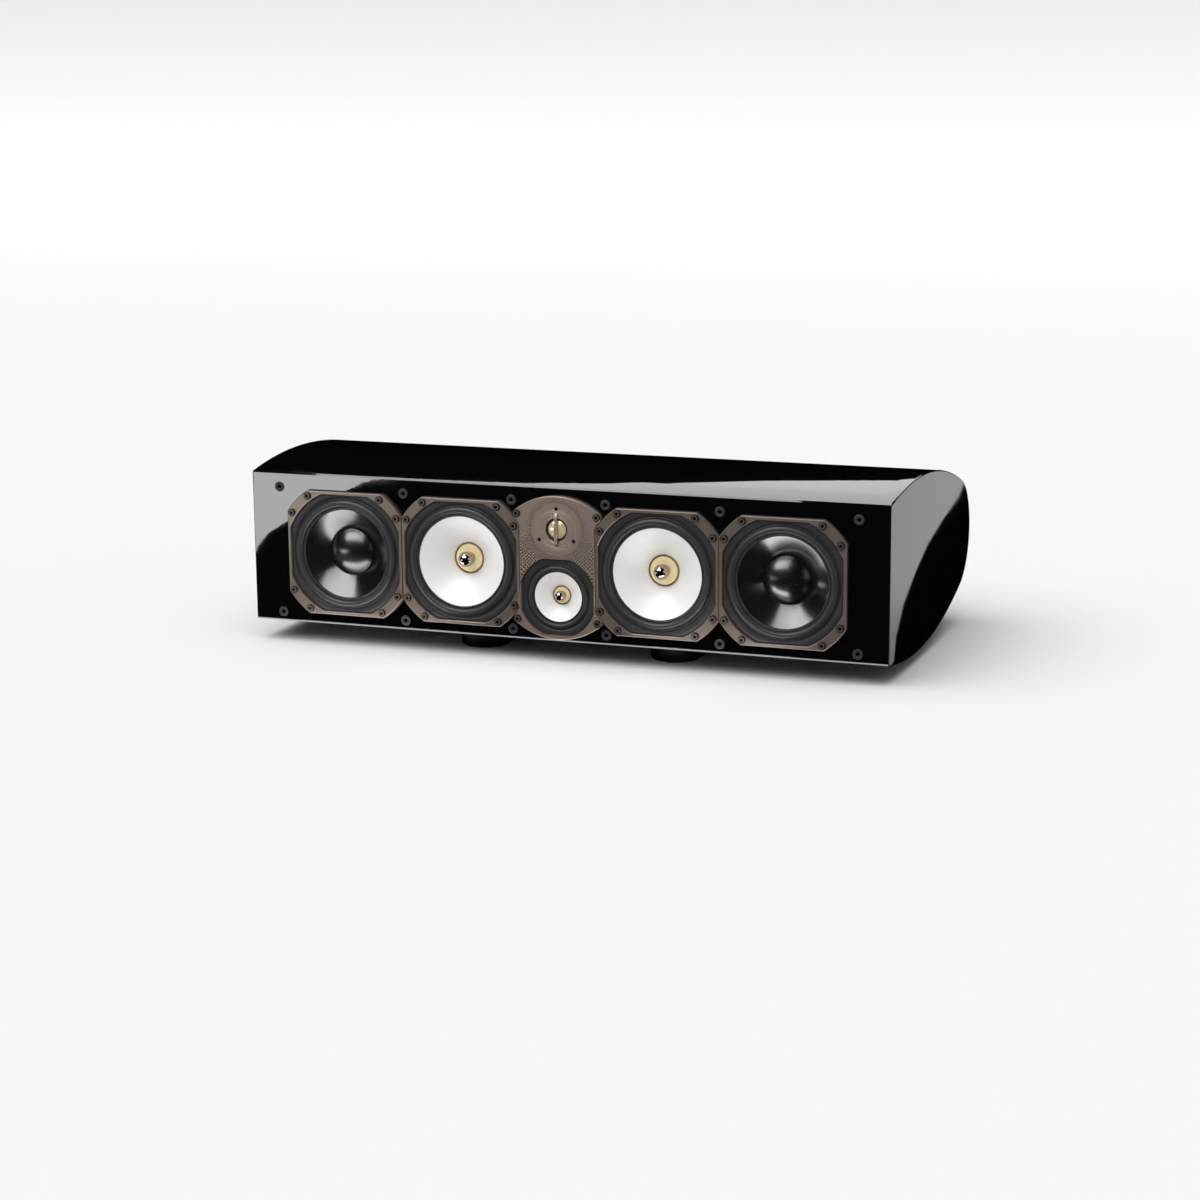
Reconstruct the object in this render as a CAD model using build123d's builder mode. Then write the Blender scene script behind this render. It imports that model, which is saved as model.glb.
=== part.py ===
# Center channel loudspeaker: four 7 inch drivers, and a midrange and dome tweeter on one centre plate.
# Millimetres. +Z is up and -Y is the front. The origin is under the middle of the whole part,
# on the plane that the feet stand on.
import os
from math import asin, cos, radians, sin, sqrt

from build123d import *

os.makedirs("parts", exist_ok=True)

# Cabinet
cabinet_width = 948.0
front_height = 218.0
cabinet_depth = 466.0
crown_radius = 766.0  # curve of the top and of the underside
crown_set_back = 151.0  # from the front face to the fullest height
baffle_thickness = 38.0
shell_thickness = 22.0
end_panel_thickness = 22.0
brace_thickness = 18.0
front_bevel = 2.0  # along the front face's long edges
end_edge_radius = 2.0  # rounding of the end panels' rims
glue_gap = 0.3  # between curved faces that are glued

# Feet
foot_drop = 15.3  # floor to the fullest underside
foot_spacing = 290.0
foot_width = 70.0
foot_length = 210.0
foot_set_back = 44.0  # front face to the foot's front end
foot_edge_radius = 5.0

# Row of drivers on the front
driver_drop = 4.0  # row of drivers below the middle of the front
frame_side = 179.2  # flat to flat
frame_gap = 0.6  # between neighbouring frames
frame_corner_radius = 107.0
frame_proud = 7.5
frame_bevel = 1.0  # on the outer edge and round the opening
opening_side = 170.4
opening_corner_radius = 92.5
recess_floor = 2.7  # metal left under the frame's recess

# Screws of frames and plate
screw_near = 56.5  # shorter offset from the driver's axis
screw_far = 82.0  # longer offset
screw_head_radius = 5.5
screw_head_height = 2.4
screw_radius = 2.4
screw_length = 24.0
screw_clearance = 0.3

# Cone drivers, depths are behind the baffle's face
rubber = 0.8  # thickness of surrounds
roll_outer_radius = 80.0
roll_inner_radius = 66.0
roll_height = 4.2
cone_edge_radius = 64.5
cone_thickness = 1.0
neck_depth = 26.0
former_radius = 21.0
former_wall = 1.2
former_front = 24.5
former_back = 68.0
fit_gap = 0.3  # seat to moving or soft pieces
cutout_clearance = 0.5
skirt_radius = 86.0
skirt_wall = 4.0
skirt_depth = 10.0
basket_ring_inner = 38.0
basket_ring_outer = 52.0
basket_ring_front = 48.0
basket_ring_back = 52.0
spoke_count = 6
spoke_width = 16.0
spider_radius = 46.0
spider_land = 2.0  # from the ring's hole to the last wave
spider_wave = 1.6
spider_waves = 2
spider_thickness = 0.8
gap_inside = 0.8  # former to pole
gap_outside = 1.2  # former to front plate
front_plate_radius = 50.0
front_plate_thickness = 8.0
magnet_radius = 54.0
magnet_hole_radius = 32.0
magnet_thickness = 20.0
yoke_thickness = 10.0

# Woofer: dust cap on its cone
cap_radius = 33.5
cap_seat_depth = 17.5
cap_height = 13.0
cap_wall = 0.9
cap_rim = 1.0  # straight rim under the dome

# Mid-woofer: phase plug on its pole
mid_bend_radius = 44.0
mid_bend_depth = 9.5
plug_radius = 20.2
plug_front = 25.0
plug_bevel = 1.2
tip_radius = 11.0
tip_foot_radius = 9.6
tip_shoulder = 14.0  # depth where the tip's round end begins

# Centre plate
plate_width = 112.0  # between the flats of the middle drivers
plate_radius = 101.5
plate_ear_radius = 8.0
plate_notch_radius = 3.0
plate_bevel = 1.0
plate_screw_x = 59.6
plate_screw_z = 74.9

# Midrange
midrange_drop = 41.4  # axis below the row of drivers
midrange_opening_side = 108.4
midrange_opening_corner_radius = 58.0
midrange_roll_outer = 46.5
midrange_roll_inner = 36.6
midrange_roll_height = 3.4
midrange_cone_edge = 35.2
midrange_bend_radius = 24.0
midrange_bend_depth = 4.3
midrange_neck_depth = 11.6
midrange_former_radius = 12.6
midrange_former_wall = 0.8
midrange_former_front = 10.4
midrange_former_back = 34.0
midrange_skirt_radius = 50.0
midrange_skirt_wall = 3.0
midrange_skirt_depth = 6.0
midrange_ring_inner = 22.0
midrange_ring_outer = 33.0
midrange_ring_front = 22.0
midrange_ring_back = 25.0
midrange_spoke_width = 11.0
midrange_spider_radius = 28.0
midrange_gap_inside = 0.7
midrange_gap_outside = 0.8
midrange_plate_radius = 33.0
midrange_plate_thickness = 5.0
midrange_magnet_radius = 35.0
midrange_magnet_hole = 20.0
midrange_magnet_thickness = 12.0
midrange_yoke_thickness = 6.0
midrange_plug_radius = 11.9
midrange_plug_front = 11.0
midrange_plug_bevel = 0.8
midrange_tip_radius = 7.6
midrange_tip_foot_radius = 6.6
midrange_tip_shoulder = 3.5
midrange_step_depth = 20.0  # depth of the wide part of the baffle's hole
chamber_radius = 44.0
chamber_wall = 5.0
chamber_length = 90.0

# Tweeter
tweeter_rise = 54.5  # axis above the row of drivers
throat_radius = 16.3
dome_radius = 13.2
dome_height = 3.6
dome_wall = 0.4
dome_base = -4.0  # in front of the baffle's face
dome_former_back = 8.0
tweeter_gap = 0.5
tweeter_flange_radius = 33.0
tweeter_flange_thickness = 5.0
tweeter_motor_radius = 28.0
tweeter_motor_depth = 26.0
tweeter_pole_front = -1.6
tweeter_front_plate = 9.0  # depth of the front plate's back
tweeter_yoke_front = 19.0
tweeter_magnet_hole = 17.0
tweeter_ring_proud = 5.5
tweeter_screw_offset = 29.5
tweeter_screw_head = 2.5
tweeter_screw_head_height = 1.0
tweeter_screw_radius = 1.3
tweeter_screw_length = 10.5
tweeter_screw_count = 3
tweeter_screw_start = 90.0  # the first one is straight above the dome
bar_length = 48.0
bar_width = 4.8
bar_end_width = 3.8
bar_proud = 3.5  # in front of the plate
bar_ramp = 5.0  # length of each sloping end
bar_dome_gap = 1.2
bar_root = 0.5  # how far its feet reach into the plate

# Grille sockets
socket_inner_x = 70.0
socket_middle_x = 235.5
socket_end_inset = 43.6  # outermost ones, in from the cabinet's ends
socket_rise = 91.8  # from the row of drivers, up and down
socket_flange_radius = 7.4
socket_proud = 1.2
socket_body_radius = 5.3
socket_depth = 16.0
socket_bore_radius = 3.0
socket_bore_depth = 13.0

# Rear terminals
cup_width = 150.0
cup_height = 72.0
cup_flange = 10.0
cup_flange_thickness = 2.5
cup_wall = 4.0
cup_depth = 34.0
cup_screw_angle = 22.0
cup_screw_head_radius = 3.2
cup_screw_head_height = 1.6
cup_screw_radius = 1.5
cup_screw_length = 14.0
post_spacing = 38.0
post_radius = 4.0
post_length = 24.0
post_collar_radius = 9.0
post_collar_height = 3.0
post_tail = 12.0  # inside the cabinet, behind the cup's floor
plug_bore_radius = 2.0
plug_bore_depth = 18.0
nut_radius = 8.0
nut_length = 15.0
nut_flute_radius = 1.5
nut_flute_count = 10
nut_gap = 1.0  # nut to collar when screwed home
thread_gap = 0.3

# Crossover on the left end panel
board_length = 170.0
board_height = 110.0
board_thickness = 2.4
board_centre_depth = 235.0
coil_radius = 21.0
coil_hole_radius = 9.0
coil_height = 22.0
coil_spacing = 70.0
coil_rise = 26.0
capacitor_radius = 10.0
capacitor_length = 34.0
capacitor_spacing = 44.0
capacitor_count = 3

# Windows in the braces
brace_window_radius = 46.0
brace_front_window_depth = 140.0
brace_rear_window_depth = 275.0

# The side view's curves, with heights from the middle of the front
crown_centre = front_height / 2 - sqrt(crown_radius**2 - crown_set_back**2)
crown_half_height = crown_centre + crown_radius
rear_run = cabinet_depth - crown_set_back
back_radius = (crown_radius**2 - rear_run**2 - crown_centre**2) / (2 * (crown_radius - rear_run))
back_centre = cabinet_depth - back_radius
tangent_run = (back_centre - crown_set_back) / (crown_radius - back_radius)
tangent_rise = -crown_centre / (crown_radius - back_radius)

# The frame: middle of the overall depth at y 0, soles at z 0
front_reach = frame_proud + bar_proud
overall_depth = front_reach + cabinet_depth + cup_flange_thickness
front_y = front_reach - overall_depth / 2
middle_z = foot_drop + crown_half_height
row_z = middle_z - driver_drop
midrange_z = row_z - midrange_drop
tweeter_z = row_z + tweeter_rise
driver_pitch = frame_side + frame_gap
mid_x = plate_width / 2 + frame_gap + frame_side / 2
woofer_x = mid_x + driver_pitch

# Depths that follow from the above
floor_depth = -recess_floor
rubber_front = floor_depth - rubber
pole_radius = former_radius - gap_inside
plate_hole_radius = former_radius + former_wall + gap_outside
midrange_pole_radius = midrange_former_radius - midrange_gap_inside
midrange_plate_hole = midrange_former_radius + midrange_former_wall + midrange_gap_outside
step_radius = chamber_radius - chamber_wall
cutout_radius = skirt_radius + cutout_clearance

front_plane = Plane(origin=(0, front_y, 0), x_dir=(1, 0, 0), z_dir=(0, -1, 0))
woofer_spots = {"left_woofer": -woofer_x, "right_woofer": woofer_x}
mid_spots = {"left_mid": -mid_x, "right_mid": mid_x}
driver_x = [*woofer_spots.values(), *mid_spots.values()]
socket_spots = [
    (side * column, row_z + rise * socket_rise)
    for column in (socket_inner_x, socket_middle_x, cabinet_width / 2 - socket_end_inset)
    for side in (-1, 1)
    for rise in (-1, 1)
]
frame_screws = [
    (side * across, rise * up)
    for across, up in ((screw_near, screw_far), (screw_far, screw_near))
    for side in (-1, 1)
    for rise in (-1, 1)
]
plate_screws = [
    (side * plate_screw_x, row_z + rise * plate_screw_z) for side in (-1, 1) for rise in (-1, 1)
]
screw_spots = [(x + across, row_z + up) for x in driver_x for across, up in frame_screws] + plate_screws


def save(builder, name):
    builder.part.label = name
    export_step(builder.part, f"parts/{name}.step")


def face_at(depth):
    # A plane parallel to the front, facing the listener, at a depth behind the baffle's face
    return front_plane.offset(-depth)


def turning_plane(x, z):
    # Radius from a driver's axis along X, depth along Y
    return Plane(origin=(x, front_y, z))


def turning_axis(x, z):
    return Axis((x, front_y, z), (0, 1, 0))


def crown_height(depth, inset=0.0):
    # Half height of the side view at a depth, inside the outer face by an inset
    return crown_centre + sqrt((crown_radius - inset) ** 2 - (depth - crown_set_back) ** 2)


def side_face(inset, front):
    # Face of the side view from a front depth to the back, inside the outer face by an inset
    def at(depth, height):
        return (front_y + depth, middle_z + height)

    reach = crown_radius - inset
    join_depth = crown_set_back + reach * tangent_run
    join_height = crown_centre + reach * tangent_rise
    start = crown_height(front, inset)
    with BuildLine() as outline:
        ThreePointArc(
            at(front, start), at(crown_set_back, crown_centre + reach), at(join_depth, join_height)
        )
        ThreePointArc(
            at(join_depth, join_height), at(cabinet_depth - inset, 0), at(join_depth, -join_height)
        )
        ThreePointArc(
            at(join_depth, -join_height), at(crown_set_back, -crown_centre - reach), at(front, -start)
        )
        Line(at(front, -start), at(front, start))
    make_face(outline.edges())


def cup_screw_plane(x, angle):
    # Plane on the terminal flange's outer face, facing out from the round back
    outward = (0, cos(radians(angle)), sin(radians(angle)))
    reach = back_radius + cup_flange_thickness
    seat = (x, front_y + back_centre + reach * outward[1], middle_z + reach * outward[2])
    return Plane(origin=seat, x_dir=(1, 0, 0), z_dir=outward)


cup_screw_planes = [
    cup_screw_plane(side * (cup_width + cup_flange) / 2, rise * cup_screw_angle)
    for side in (-1, 1)
    for rise in (-1, 1)
]


def cut_cup_screws():
    # Holes for the terminal screws, cut from outside into the part in hand
    for plane in cup_screw_planes:
        with BuildSketch(plane.offset(cup_screw_head_height)) as hole:
            Circle(cup_screw_radius + screw_clearance)
        run = cup_screw_head_height + cup_screw_length + screw_clearance
        extrude(hole.sketch, amount=-run, mode=Mode.SUBTRACT)


def cut_disc(x, z, radius, side):
    # Disc with four flats, the outline of the frames and of their openings
    with Locations((x, z)):
        Circle(radius)
        Rectangle(side, side, mode=Mode.INTERSECT)


# Cabinet shell, bent round the top, the back and the underside
with BuildPart() as cabinet_shell:
    shell_width = cabinet_width - 2 * end_panel_thickness
    with BuildSketch(Plane.YZ.offset(-shell_width / 2)):
        side_face(0, baffle_thickness)
    extrude(amount=shell_width)
    with BuildSketch(Plane.YZ.offset(-shell_width / 2)):
        side_face(shell_thickness, baffle_thickness)
    extrude(amount=shell_width, mode=Mode.SUBTRACT)
    with BuildSketch(face_at(back_centre)):
        with Locations((0, middle_z)):
            Rectangle(cup_width, cup_height)
    extrude(amount=-back_radius, mode=Mode.SUBTRACT)
    cut_cup_screws()
save(cabinet_shell, "cabinet_shell")

# Front baffle, the full width of the front, with the curve of the top and underside on its edges
with BuildPart() as front_baffle:
    with BuildSketch(Plane.YZ.offset(-cabinet_width / 2)):
        with BuildLine():
            edge_depths = (0, baffle_thickness / 2, baffle_thickness)
            upper = [(front_y + d, middle_z + crown_height(d)) for d in edge_depths]
            lower = [(front_y + d, middle_z - crown_height(d)) for d in edge_depths]
            ThreePointArc(*upper)
            ThreePointArc(*lower)
            Line(upper[0], lower[0])
            Line(upper[-1], lower[-1])
        make_face()
    extrude(amount=cabinet_width)
    long_edges = front_baffle.edges().filter_by(Axis.X).group_by(Axis.Y)[0]
    chamfer(long_edges, front_bevel)
    rims = [front_baffle.faces().sort_by(Axis.X)[i] for i in (0, -1)]
    rim_edges = [e for rim in rims for e in rim.edges().sort_by(Axis.Y)[:-1]]
    fillet(rim_edges, end_edge_radius)
    with BuildSketch(front_plane):
        with Locations(*[(x, row_z) for x in driver_x]):
            Circle(cutout_radius)
        with Locations((0, midrange_z)):
            Circle(step_radius)
    extrude(amount=-baffle_thickness, mode=Mode.SUBTRACT)
    with BuildSketch(front_plane):
        with Locations((0, midrange_z)):
            Circle(midrange_skirt_radius + cutout_clearance)
    extrude(amount=-midrange_step_depth, mode=Mode.SUBTRACT)
    with BuildSketch(front_plane):
        with Locations((0, tweeter_z)):
            Circle(tweeter_flange_radius + cutout_clearance)
    extrude(amount=-(tweeter_motor_depth + cutout_clearance), mode=Mode.SUBTRACT)
    with BuildSketch(front_plane):
        with Locations(*screw_spots):
            Circle(screw_radius + screw_clearance)
    extrude(amount=-(screw_length - frame_proud + screw_clearance), mode=Mode.SUBTRACT)
    with BuildSketch(front_plane):
        with Locations(*socket_spots):
            Circle(socket_body_radius + glue_gap)
    extrude(amount=-(socket_depth + glue_gap), mode=Mode.SUBTRACT)
save(front_baffle, "front_baffle")

# End panels
for side, name in ((-1, "left_end_panel"), (1, "right_end_panel")):
    with BuildPart() as end_panel:
        with BuildSketch(Plane.YZ.offset(side * (cabinet_width - end_panel_thickness) / 2)):
            side_face(0, baffle_thickness)
        extrude(amount=end_panel_thickness / 2, both=True)
        rim = end_panel.faces().sort_by(Axis.X)[-1 if side > 0 else 0]
        fillet(rim.edges().sort_by(Axis.Y)[1:], end_edge_radius)
    save(end_panel, name)

# Braces between the end drivers and the middle ones
for side, name in ((-1, "left_brace"), (1, "right_brace")):
    with BuildPart() as brace:
        brace_x = side * (mid_x + woofer_x) / 2
        with BuildSketch(Plane.YZ.offset(brace_x)):
            side_face(shell_thickness + glue_gap, baffle_thickness)
            window_depths = (brace_front_window_depth, brace_rear_window_depth)
            with Locations(*[(front_y + depth, middle_z) for depth in window_depths]):
                Circle(brace_window_radius, mode=Mode.SUBTRACT)
        extrude(amount=brace_thickness / 2, both=True)
    save(brace, name)

# Closed chamber behind the midrange
with BuildPart() as midrange_chamber:
    with BuildSketch(face_at(baffle_thickness)):
        with Locations((0, midrange_z)):
            Circle(chamber_radius)
    extrude(amount=-chamber_length)
    with BuildSketch(face_at(baffle_thickness)):
        with Locations((0, midrange_z)):
            Circle(chamber_radius - chamber_wall)
    extrude(amount=-(chamber_length - chamber_wall), mode=Mode.SUBTRACT)
save(midrange_chamber, "midrange_chamber")

# Feet, hollowed on top to the cabinet's underside
for side, name in ((-1, "left_foot"), (1, "right_foot")):
    with BuildPart() as foot:
        foot_x = side * foot_spacing / 2
        with BuildSketch():
            with Locations((foot_x, front_y + foot_set_back + foot_length / 2)):
                SlotOverall(foot_length, foot_width, rotation=90)
        extrude(amount=middle_z)
        with BuildSketch(Plane.YZ.offset(foot_x)):
            side_face(-glue_gap, 0)
        extrude(amount=foot_width, both=True, mode=Mode.SUBTRACT)
        fillet(foot.edges().group_by(Axis.Z)[0], foot_edge_radius)
    save(foot, name)

# Rubber sockets that take the grille's pegs
with BuildPart() as grille_sockets:
    with BuildSketch(front_plane):
        with Locations(*socket_spots):
            Circle(socket_flange_radius)
    extrude(amount=socket_proud)
    with BuildSketch(front_plane):
        with Locations(*socket_spots):
            Circle(socket_body_radius)
    extrude(amount=-socket_depth)
    with BuildSketch(face_at(-socket_proud)):
        with Locations(*socket_spots):
            Circle(socket_bore_radius)
    extrude(amount=-(socket_bore_depth + socket_proud), mode=Mode.SUBTRACT)
save(grille_sockets, "grille_sockets")

# Screws through the frames and the centre plate into the baffle
with BuildPart() as driver_screws:
    with BuildSketch(face_at(-frame_proud)):
        with Locations(*screw_spots):
            Circle(screw_head_radius)
    extrude(amount=screw_head_height)
    with BuildSketch(face_at(-frame_proud)):
        with Locations(*screw_spots):
            Circle(screw_radius)
    extrude(amount=-screw_length)
save(driver_screws, "driver_screws")


def basket_back(x, z, skirt, wall, depth, ring_inner, ring_outer, ring_front, ring_back, spoke):
    # Skirt, open spokes and motor ring of a casting, added to the part in hand
    with BuildSketch(turning_plane(x, z)) as section:
        with BuildLine():
            Polyline(
                (skirt, 0),
                (skirt, depth),
                (ring_outer, ring_back),
                (ring_inner, ring_back),
                (ring_inner, ring_front),
                (ring_outer - wall, ring_front),
                (skirt - wall, depth),
                (skirt - wall, 0),
                close=True,
            )
        make_face()
    revolve(section.sketch, axis=turning_axis(x, z))
    with BuildSketch(face_at(floor_depth)) as well:
        with Locations((x, z)):
            Circle(skirt - wall)
    extrude(well.sketch, amount=-recess_floor, mode=Mode.SUBTRACT)
    with BuildSketch(face_at(depth)) as windows:
        with Locations((x, z)):
            Circle(skirt)
            Circle(ring_outer, mode=Mode.SUBTRACT)
            with PolarLocations(0, spoke_count // 2, angular_range=180, endpoint=False):
                Rectangle(2 * skirt, spoke, mode=Mode.SUBTRACT)
    extrude(windows.sketch, amount=-(ring_back - depth), mode=Mode.SUBTRACT)


def basket(x, name):
    # Cast frame: front plate with a recess, skirt in the cut-out, open spokes and a ring for the motor
    with BuildPart() as casting:
        with BuildSketch(front_plane):
            cut_disc(x, row_z, frame_corner_radius, frame_side)
        extrude(amount=frame_proud)
        with BuildSketch(face_at(-frame_proud)):
            cut_disc(x, row_z, opening_corner_radius, opening_side)
        extrude(amount=-(frame_proud - recess_floor), mode=Mode.SUBTRACT)
        chamfer(casting.edges().group_by(Axis.Y)[0], frame_bevel)
        basket_back(
            x,
            row_z,
            skirt_radius,
            skirt_wall,
            skirt_depth,
            basket_ring_inner,
            basket_ring_outer,
            basket_ring_front,
            basket_ring_back,
            spoke_width,
        )
        with BuildSketch(face_at(-frame_proud)):
            with Locations(*[(x + across, row_z + up) for across, up in frame_screws]):
                Circle(screw_radius + screw_clearance)
        extrude(amount=-frame_proud, mode=Mode.SUBTRACT)
    save(casting, name)


def surround(x, z, name, opening, corner, outer, inner, height, edge):
    # Rubber ring: flat rim in the recess, half roll, and a lip on the cone's edge
    crest = (outer + inner) / 2
    with BuildPart() as ring:
        with BuildSketch(face_at(floor_depth)):
            cut_disc(x, z, corner - fit_gap, opening - 2 * fit_gap)
            with Locations((x, z)):
                Circle(outer, mode=Mode.SUBTRACT)
        extrude(amount=rubber)
        with BuildSketch(turning_plane(x, z)):
            with BuildLine():
                Line((edge, floor_depth), (edge, rubber_front))
                Line((edge, rubber_front), (inner, rubber_front))
                ThreePointArc((inner, rubber_front), (crest, rubber_front - height), (outer, rubber_front))
                Line((outer, rubber_front), (outer, floor_depth))
                Line((outer, floor_depth), (outer - rubber, floor_depth))
                ThreePointArc(
                    (outer - rubber, floor_depth),
                    (crest, floor_depth - height),
                    (inner + rubber, floor_depth),
                )
                Line((inner + rubber, floor_depth), (edge, floor_depth))
            make_face()
        revolve(axis=turning_axis(x, z))
    save(ring, name)


def cone(x, z, name, edge, rim, bend, bend_depth, neck, neck_at):
    # Flared cone with a flat rim under the surround's lip
    with BuildPart() as flare:
        with BuildSketch(turning_plane(x, z)):
            with BuildLine():
                Line((rim, floor_depth), (edge, floor_depth))
                ThreePointArc((edge, floor_depth), (bend, bend_depth), (neck, neck_at))
                Line((neck, neck_at), (neck, neck_at + cone_thickness))
                ThreePointArc(
                    (neck, neck_at + cone_thickness),
                    (bend, bend_depth + cone_thickness),
                    (edge, floor_depth + cone_thickness),
                )
                Line((edge, floor_depth + cone_thickness), (rim, floor_depth + cone_thickness))
                Line((rim, floor_depth + cone_thickness), (rim, floor_depth))
            make_face()
        revolve(axis=turning_axis(x, z))
    save(flare, name)


def turned(x, z, name, points):
    # Piece turned about a driver's axis from points of radius and depth
    with BuildPart() as piece:
        with BuildSketch(turning_plane(x, z)):
            with BuildLine():
                Polyline(*points, close=True)
            make_face()
        revolve(axis=turning_axis(x, z))
    save(piece, name)


def voice_coil(x, z, name, radius, wall, front, back):
    turned(x, z, name, [(radius, front), (radius + wall, front), (radius + wall, back), (radius, back)])


def spider(x, z, name, inner, land, outer, landing):
    # Cloth disc: waves from the former outwards, then a flat land on the basket's ring
    wave_length = (land - inner) / spider_waves
    flat = landing - spider_thickness
    top = [(inner, flat)]
    for wave in range(spider_waves):
        start = inner + wave * wave_length
        top += [(start + wave_length / 2, flat - spider_wave), (start + wave_length, flat)]
    top.append((outer, flat))
    under = [(r, d + spider_thickness) for r, d in reversed(top)]
    turned(x, z, name, top + under)


def motor(x, z, name, front, pole, hole, disc, disc_wall, magnet, magnet_hole, magnet_wall, yoke_wall):
    # Front plate, ring magnet, and yoke with its pole, with the coil's gap between plate and pole
    plate_back = front + disc_wall
    magnet_back = plate_back + magnet_wall
    yoke_back = magnet_back + yoke_wall
    section = [
        (0, front),
        (pole, front),
        (pole, magnet_back),
        (magnet_hole, magnet_back),
        (magnet_hole, plate_back),
        (hole, plate_back),
        (hole, front),
        (disc, front),
        (disc, plate_back),
        (magnet, plate_back),
        (magnet, magnet_back),
        (disc, magnet_back),
        (disc, yoke_back),
        (0, yoke_back),
    ]
    turned(x, z, name, section)


def phase_plug(x, z, name, radius, front, bevel, seat):
    rim = [(radius - bevel, front), (radius, front + bevel)]
    turned(x, z, name, [(0, front), *rim, (radius, seat), (0, seat)])


def plug_tip(x, z, name, radius, foot_radius, shoulder, seat):
    # Bullet with a round end that stands on the phase plug
    slant = radius * cos(radians(45))
    with BuildPart() as bullet:
        with BuildSketch(turning_plane(x, z)):
            with BuildLine():
                Line((0, seat), (foot_radius, seat))
                Line((foot_radius, seat), (radius, shoulder))
                ThreePointArc((radius, shoulder), (slant, shoulder - slant), (0, shoulder - radius))
                Line((0, shoulder - radius), (0, seat))
            make_face()
        revolve(axis=turning_axis(x, z))
    save(bullet, name)


def dome(x, z, name, radius, seat, height, wall, skirt_back):
    # Thin dome with a straight skirt behind its seat: two arcs about one centre on the axis
    ball = (radius**2 + height**2) / (2 * height)
    centre = seat - height + ball
    hollow = ball - wall
    half_angle = asin(radius / ball) / 2
    run = sin(half_angle)
    rise = cos(half_angle)
    inner_radius = radius - wall
    inner_seat = centre - sqrt(hollow**2 - inner_radius**2)
    with BuildPart() as cap:
        with BuildSketch(turning_plane(x, z)):
            with BuildLine():
                ThreePointArc((0, centre - ball), (ball * run, centre - ball * rise), (radius, seat))
                Line((radius, seat), (radius, skirt_back))
                Line((radius, skirt_back), (inner_radius, skirt_back))
                Line((inner_radius, skirt_back), (inner_radius, inner_seat))
                ThreePointArc(
                    (inner_radius, inner_seat), (hollow * run, centre - hollow * rise), (0, centre - hollow)
                )
                Line((0, centre - hollow), (0, centre - ball))
            make_face()
        revolve(axis=turning_axis(x, z))
    save(cap, name)


# The four 7 inch drivers share everything but their cones and centres
neck_radius = former_radius + former_wall + glue_gap
for driver, x in {**woofer_spots, **mid_spots}.items():
    basket(x, f"{driver}_basket")
    surround(
        x,
        row_z,
        f"{driver}_surround",
        opening_side,
        opening_corner_radius,
        roll_outer_radius,
        roll_inner_radius,
        roll_height,
        cone_edge_radius,
    )
    voice_coil(x, row_z, f"{driver}_voice_coil", former_radius, former_wall, former_front, former_back)
    spider(
        x,
        row_z,
        f"{driver}_spider",
        former_radius + former_wall + fit_gap,
        basket_ring_inner + spider_land,
        spider_radius,
        basket_ring_front,
    )
    motor(
        x,
        row_z,
        f"{driver}_motor",
        basket_ring_back,
        pole_radius,
        plate_hole_radius,
        front_plate_radius,
        front_plate_thickness,
        magnet_radius,
        magnet_hole_radius,
        magnet_thickness,
        yoke_thickness,
    )

for driver, x in woofer_spots.items():
    cone(
        x,
        row_z,
        f"{driver}_cone",
        cone_edge_radius,
        roll_inner_radius,
        cap_radius,
        cap_seat_depth,
        neck_radius,
        neck_depth,
    )
    cap_seat = cap_seat_depth - fit_gap
    dome(x, row_z, f"{driver}_dust_cap", cap_radius, cap_seat - cap_rim, cap_height, cap_wall, cap_seat)

for driver, x in mid_spots.items():
    cone(
        x,
        row_z,
        f"{driver}_cone",
        cone_edge_radius,
        roll_inner_radius,
        mid_bend_radius,
        mid_bend_depth,
        neck_radius,
        neck_depth,
    )
    phase_plug(x, row_z, f"{driver}_phase_plug", plug_radius, plug_front, plug_bevel, basket_ring_back)
    plug_tip(x, row_z, f"{driver}_plug_tip", tip_radius, tip_foot_radius, tip_shoulder, plug_front)

# Bar in front of the tweeter's dome: tapered from the front, with sloping ends from the side
with BuildPart() as tweeter_bar:
    with BuildSketch(Plane.YZ):
        with BuildLine():
            bar_back = front_y + dome_base - dome_height - bar_dome_gap
            bar_foot = front_y - frame_proud
            bar_seat = bar_foot + bar_root
            bar_front = bar_foot - bar_proud
            throat_edge = throat_radius + plate_bevel
            Polyline(
                (bar_back, tweeter_z - throat_edge),
                (bar_back, tweeter_z + throat_edge),
                (bar_seat, tweeter_z + throat_edge),
                (bar_seat, tweeter_z + bar_length / 2),
                (bar_foot, tweeter_z + bar_length / 2),
                (bar_front, tweeter_z + bar_length / 2 - bar_ramp),
                (bar_front, tweeter_z - bar_length / 2 + bar_ramp),
                (bar_foot, tweeter_z - bar_length / 2),
                (bar_seat, tweeter_z - bar_length / 2),
                (bar_seat, tweeter_z - throat_edge),
                close=True,
            )
        make_face()
    extrude(amount=bar_width, both=True)
    with BuildSketch(front_plane):
        with BuildLine():
            Polyline(
                (-bar_width / 2, tweeter_z),
                (-bar_end_width / 2, tweeter_z + bar_length / 2),
                (bar_end_width / 2, tweeter_z + bar_length / 2),
                (bar_width / 2, tweeter_z),
                (bar_end_width / 2, tweeter_z - bar_length / 2),
                (-bar_end_width / 2, tweeter_z - bar_length / 2),
                close=True,
            )
        make_face()
    extrude(amount=front_reach, mode=Mode.INTERSECT)

# Outlines of the middle drivers' frames, which the centre plate keeps clear of
middle_frames = []
for x in mid_spots.values():
    with BuildSketch() as frame_outline:
        cut_disc(x, row_z, frame_corner_radius + frame_gap, frame_side + 2 * frame_gap)
    middle_frames.append(frame_outline.sketch)

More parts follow.
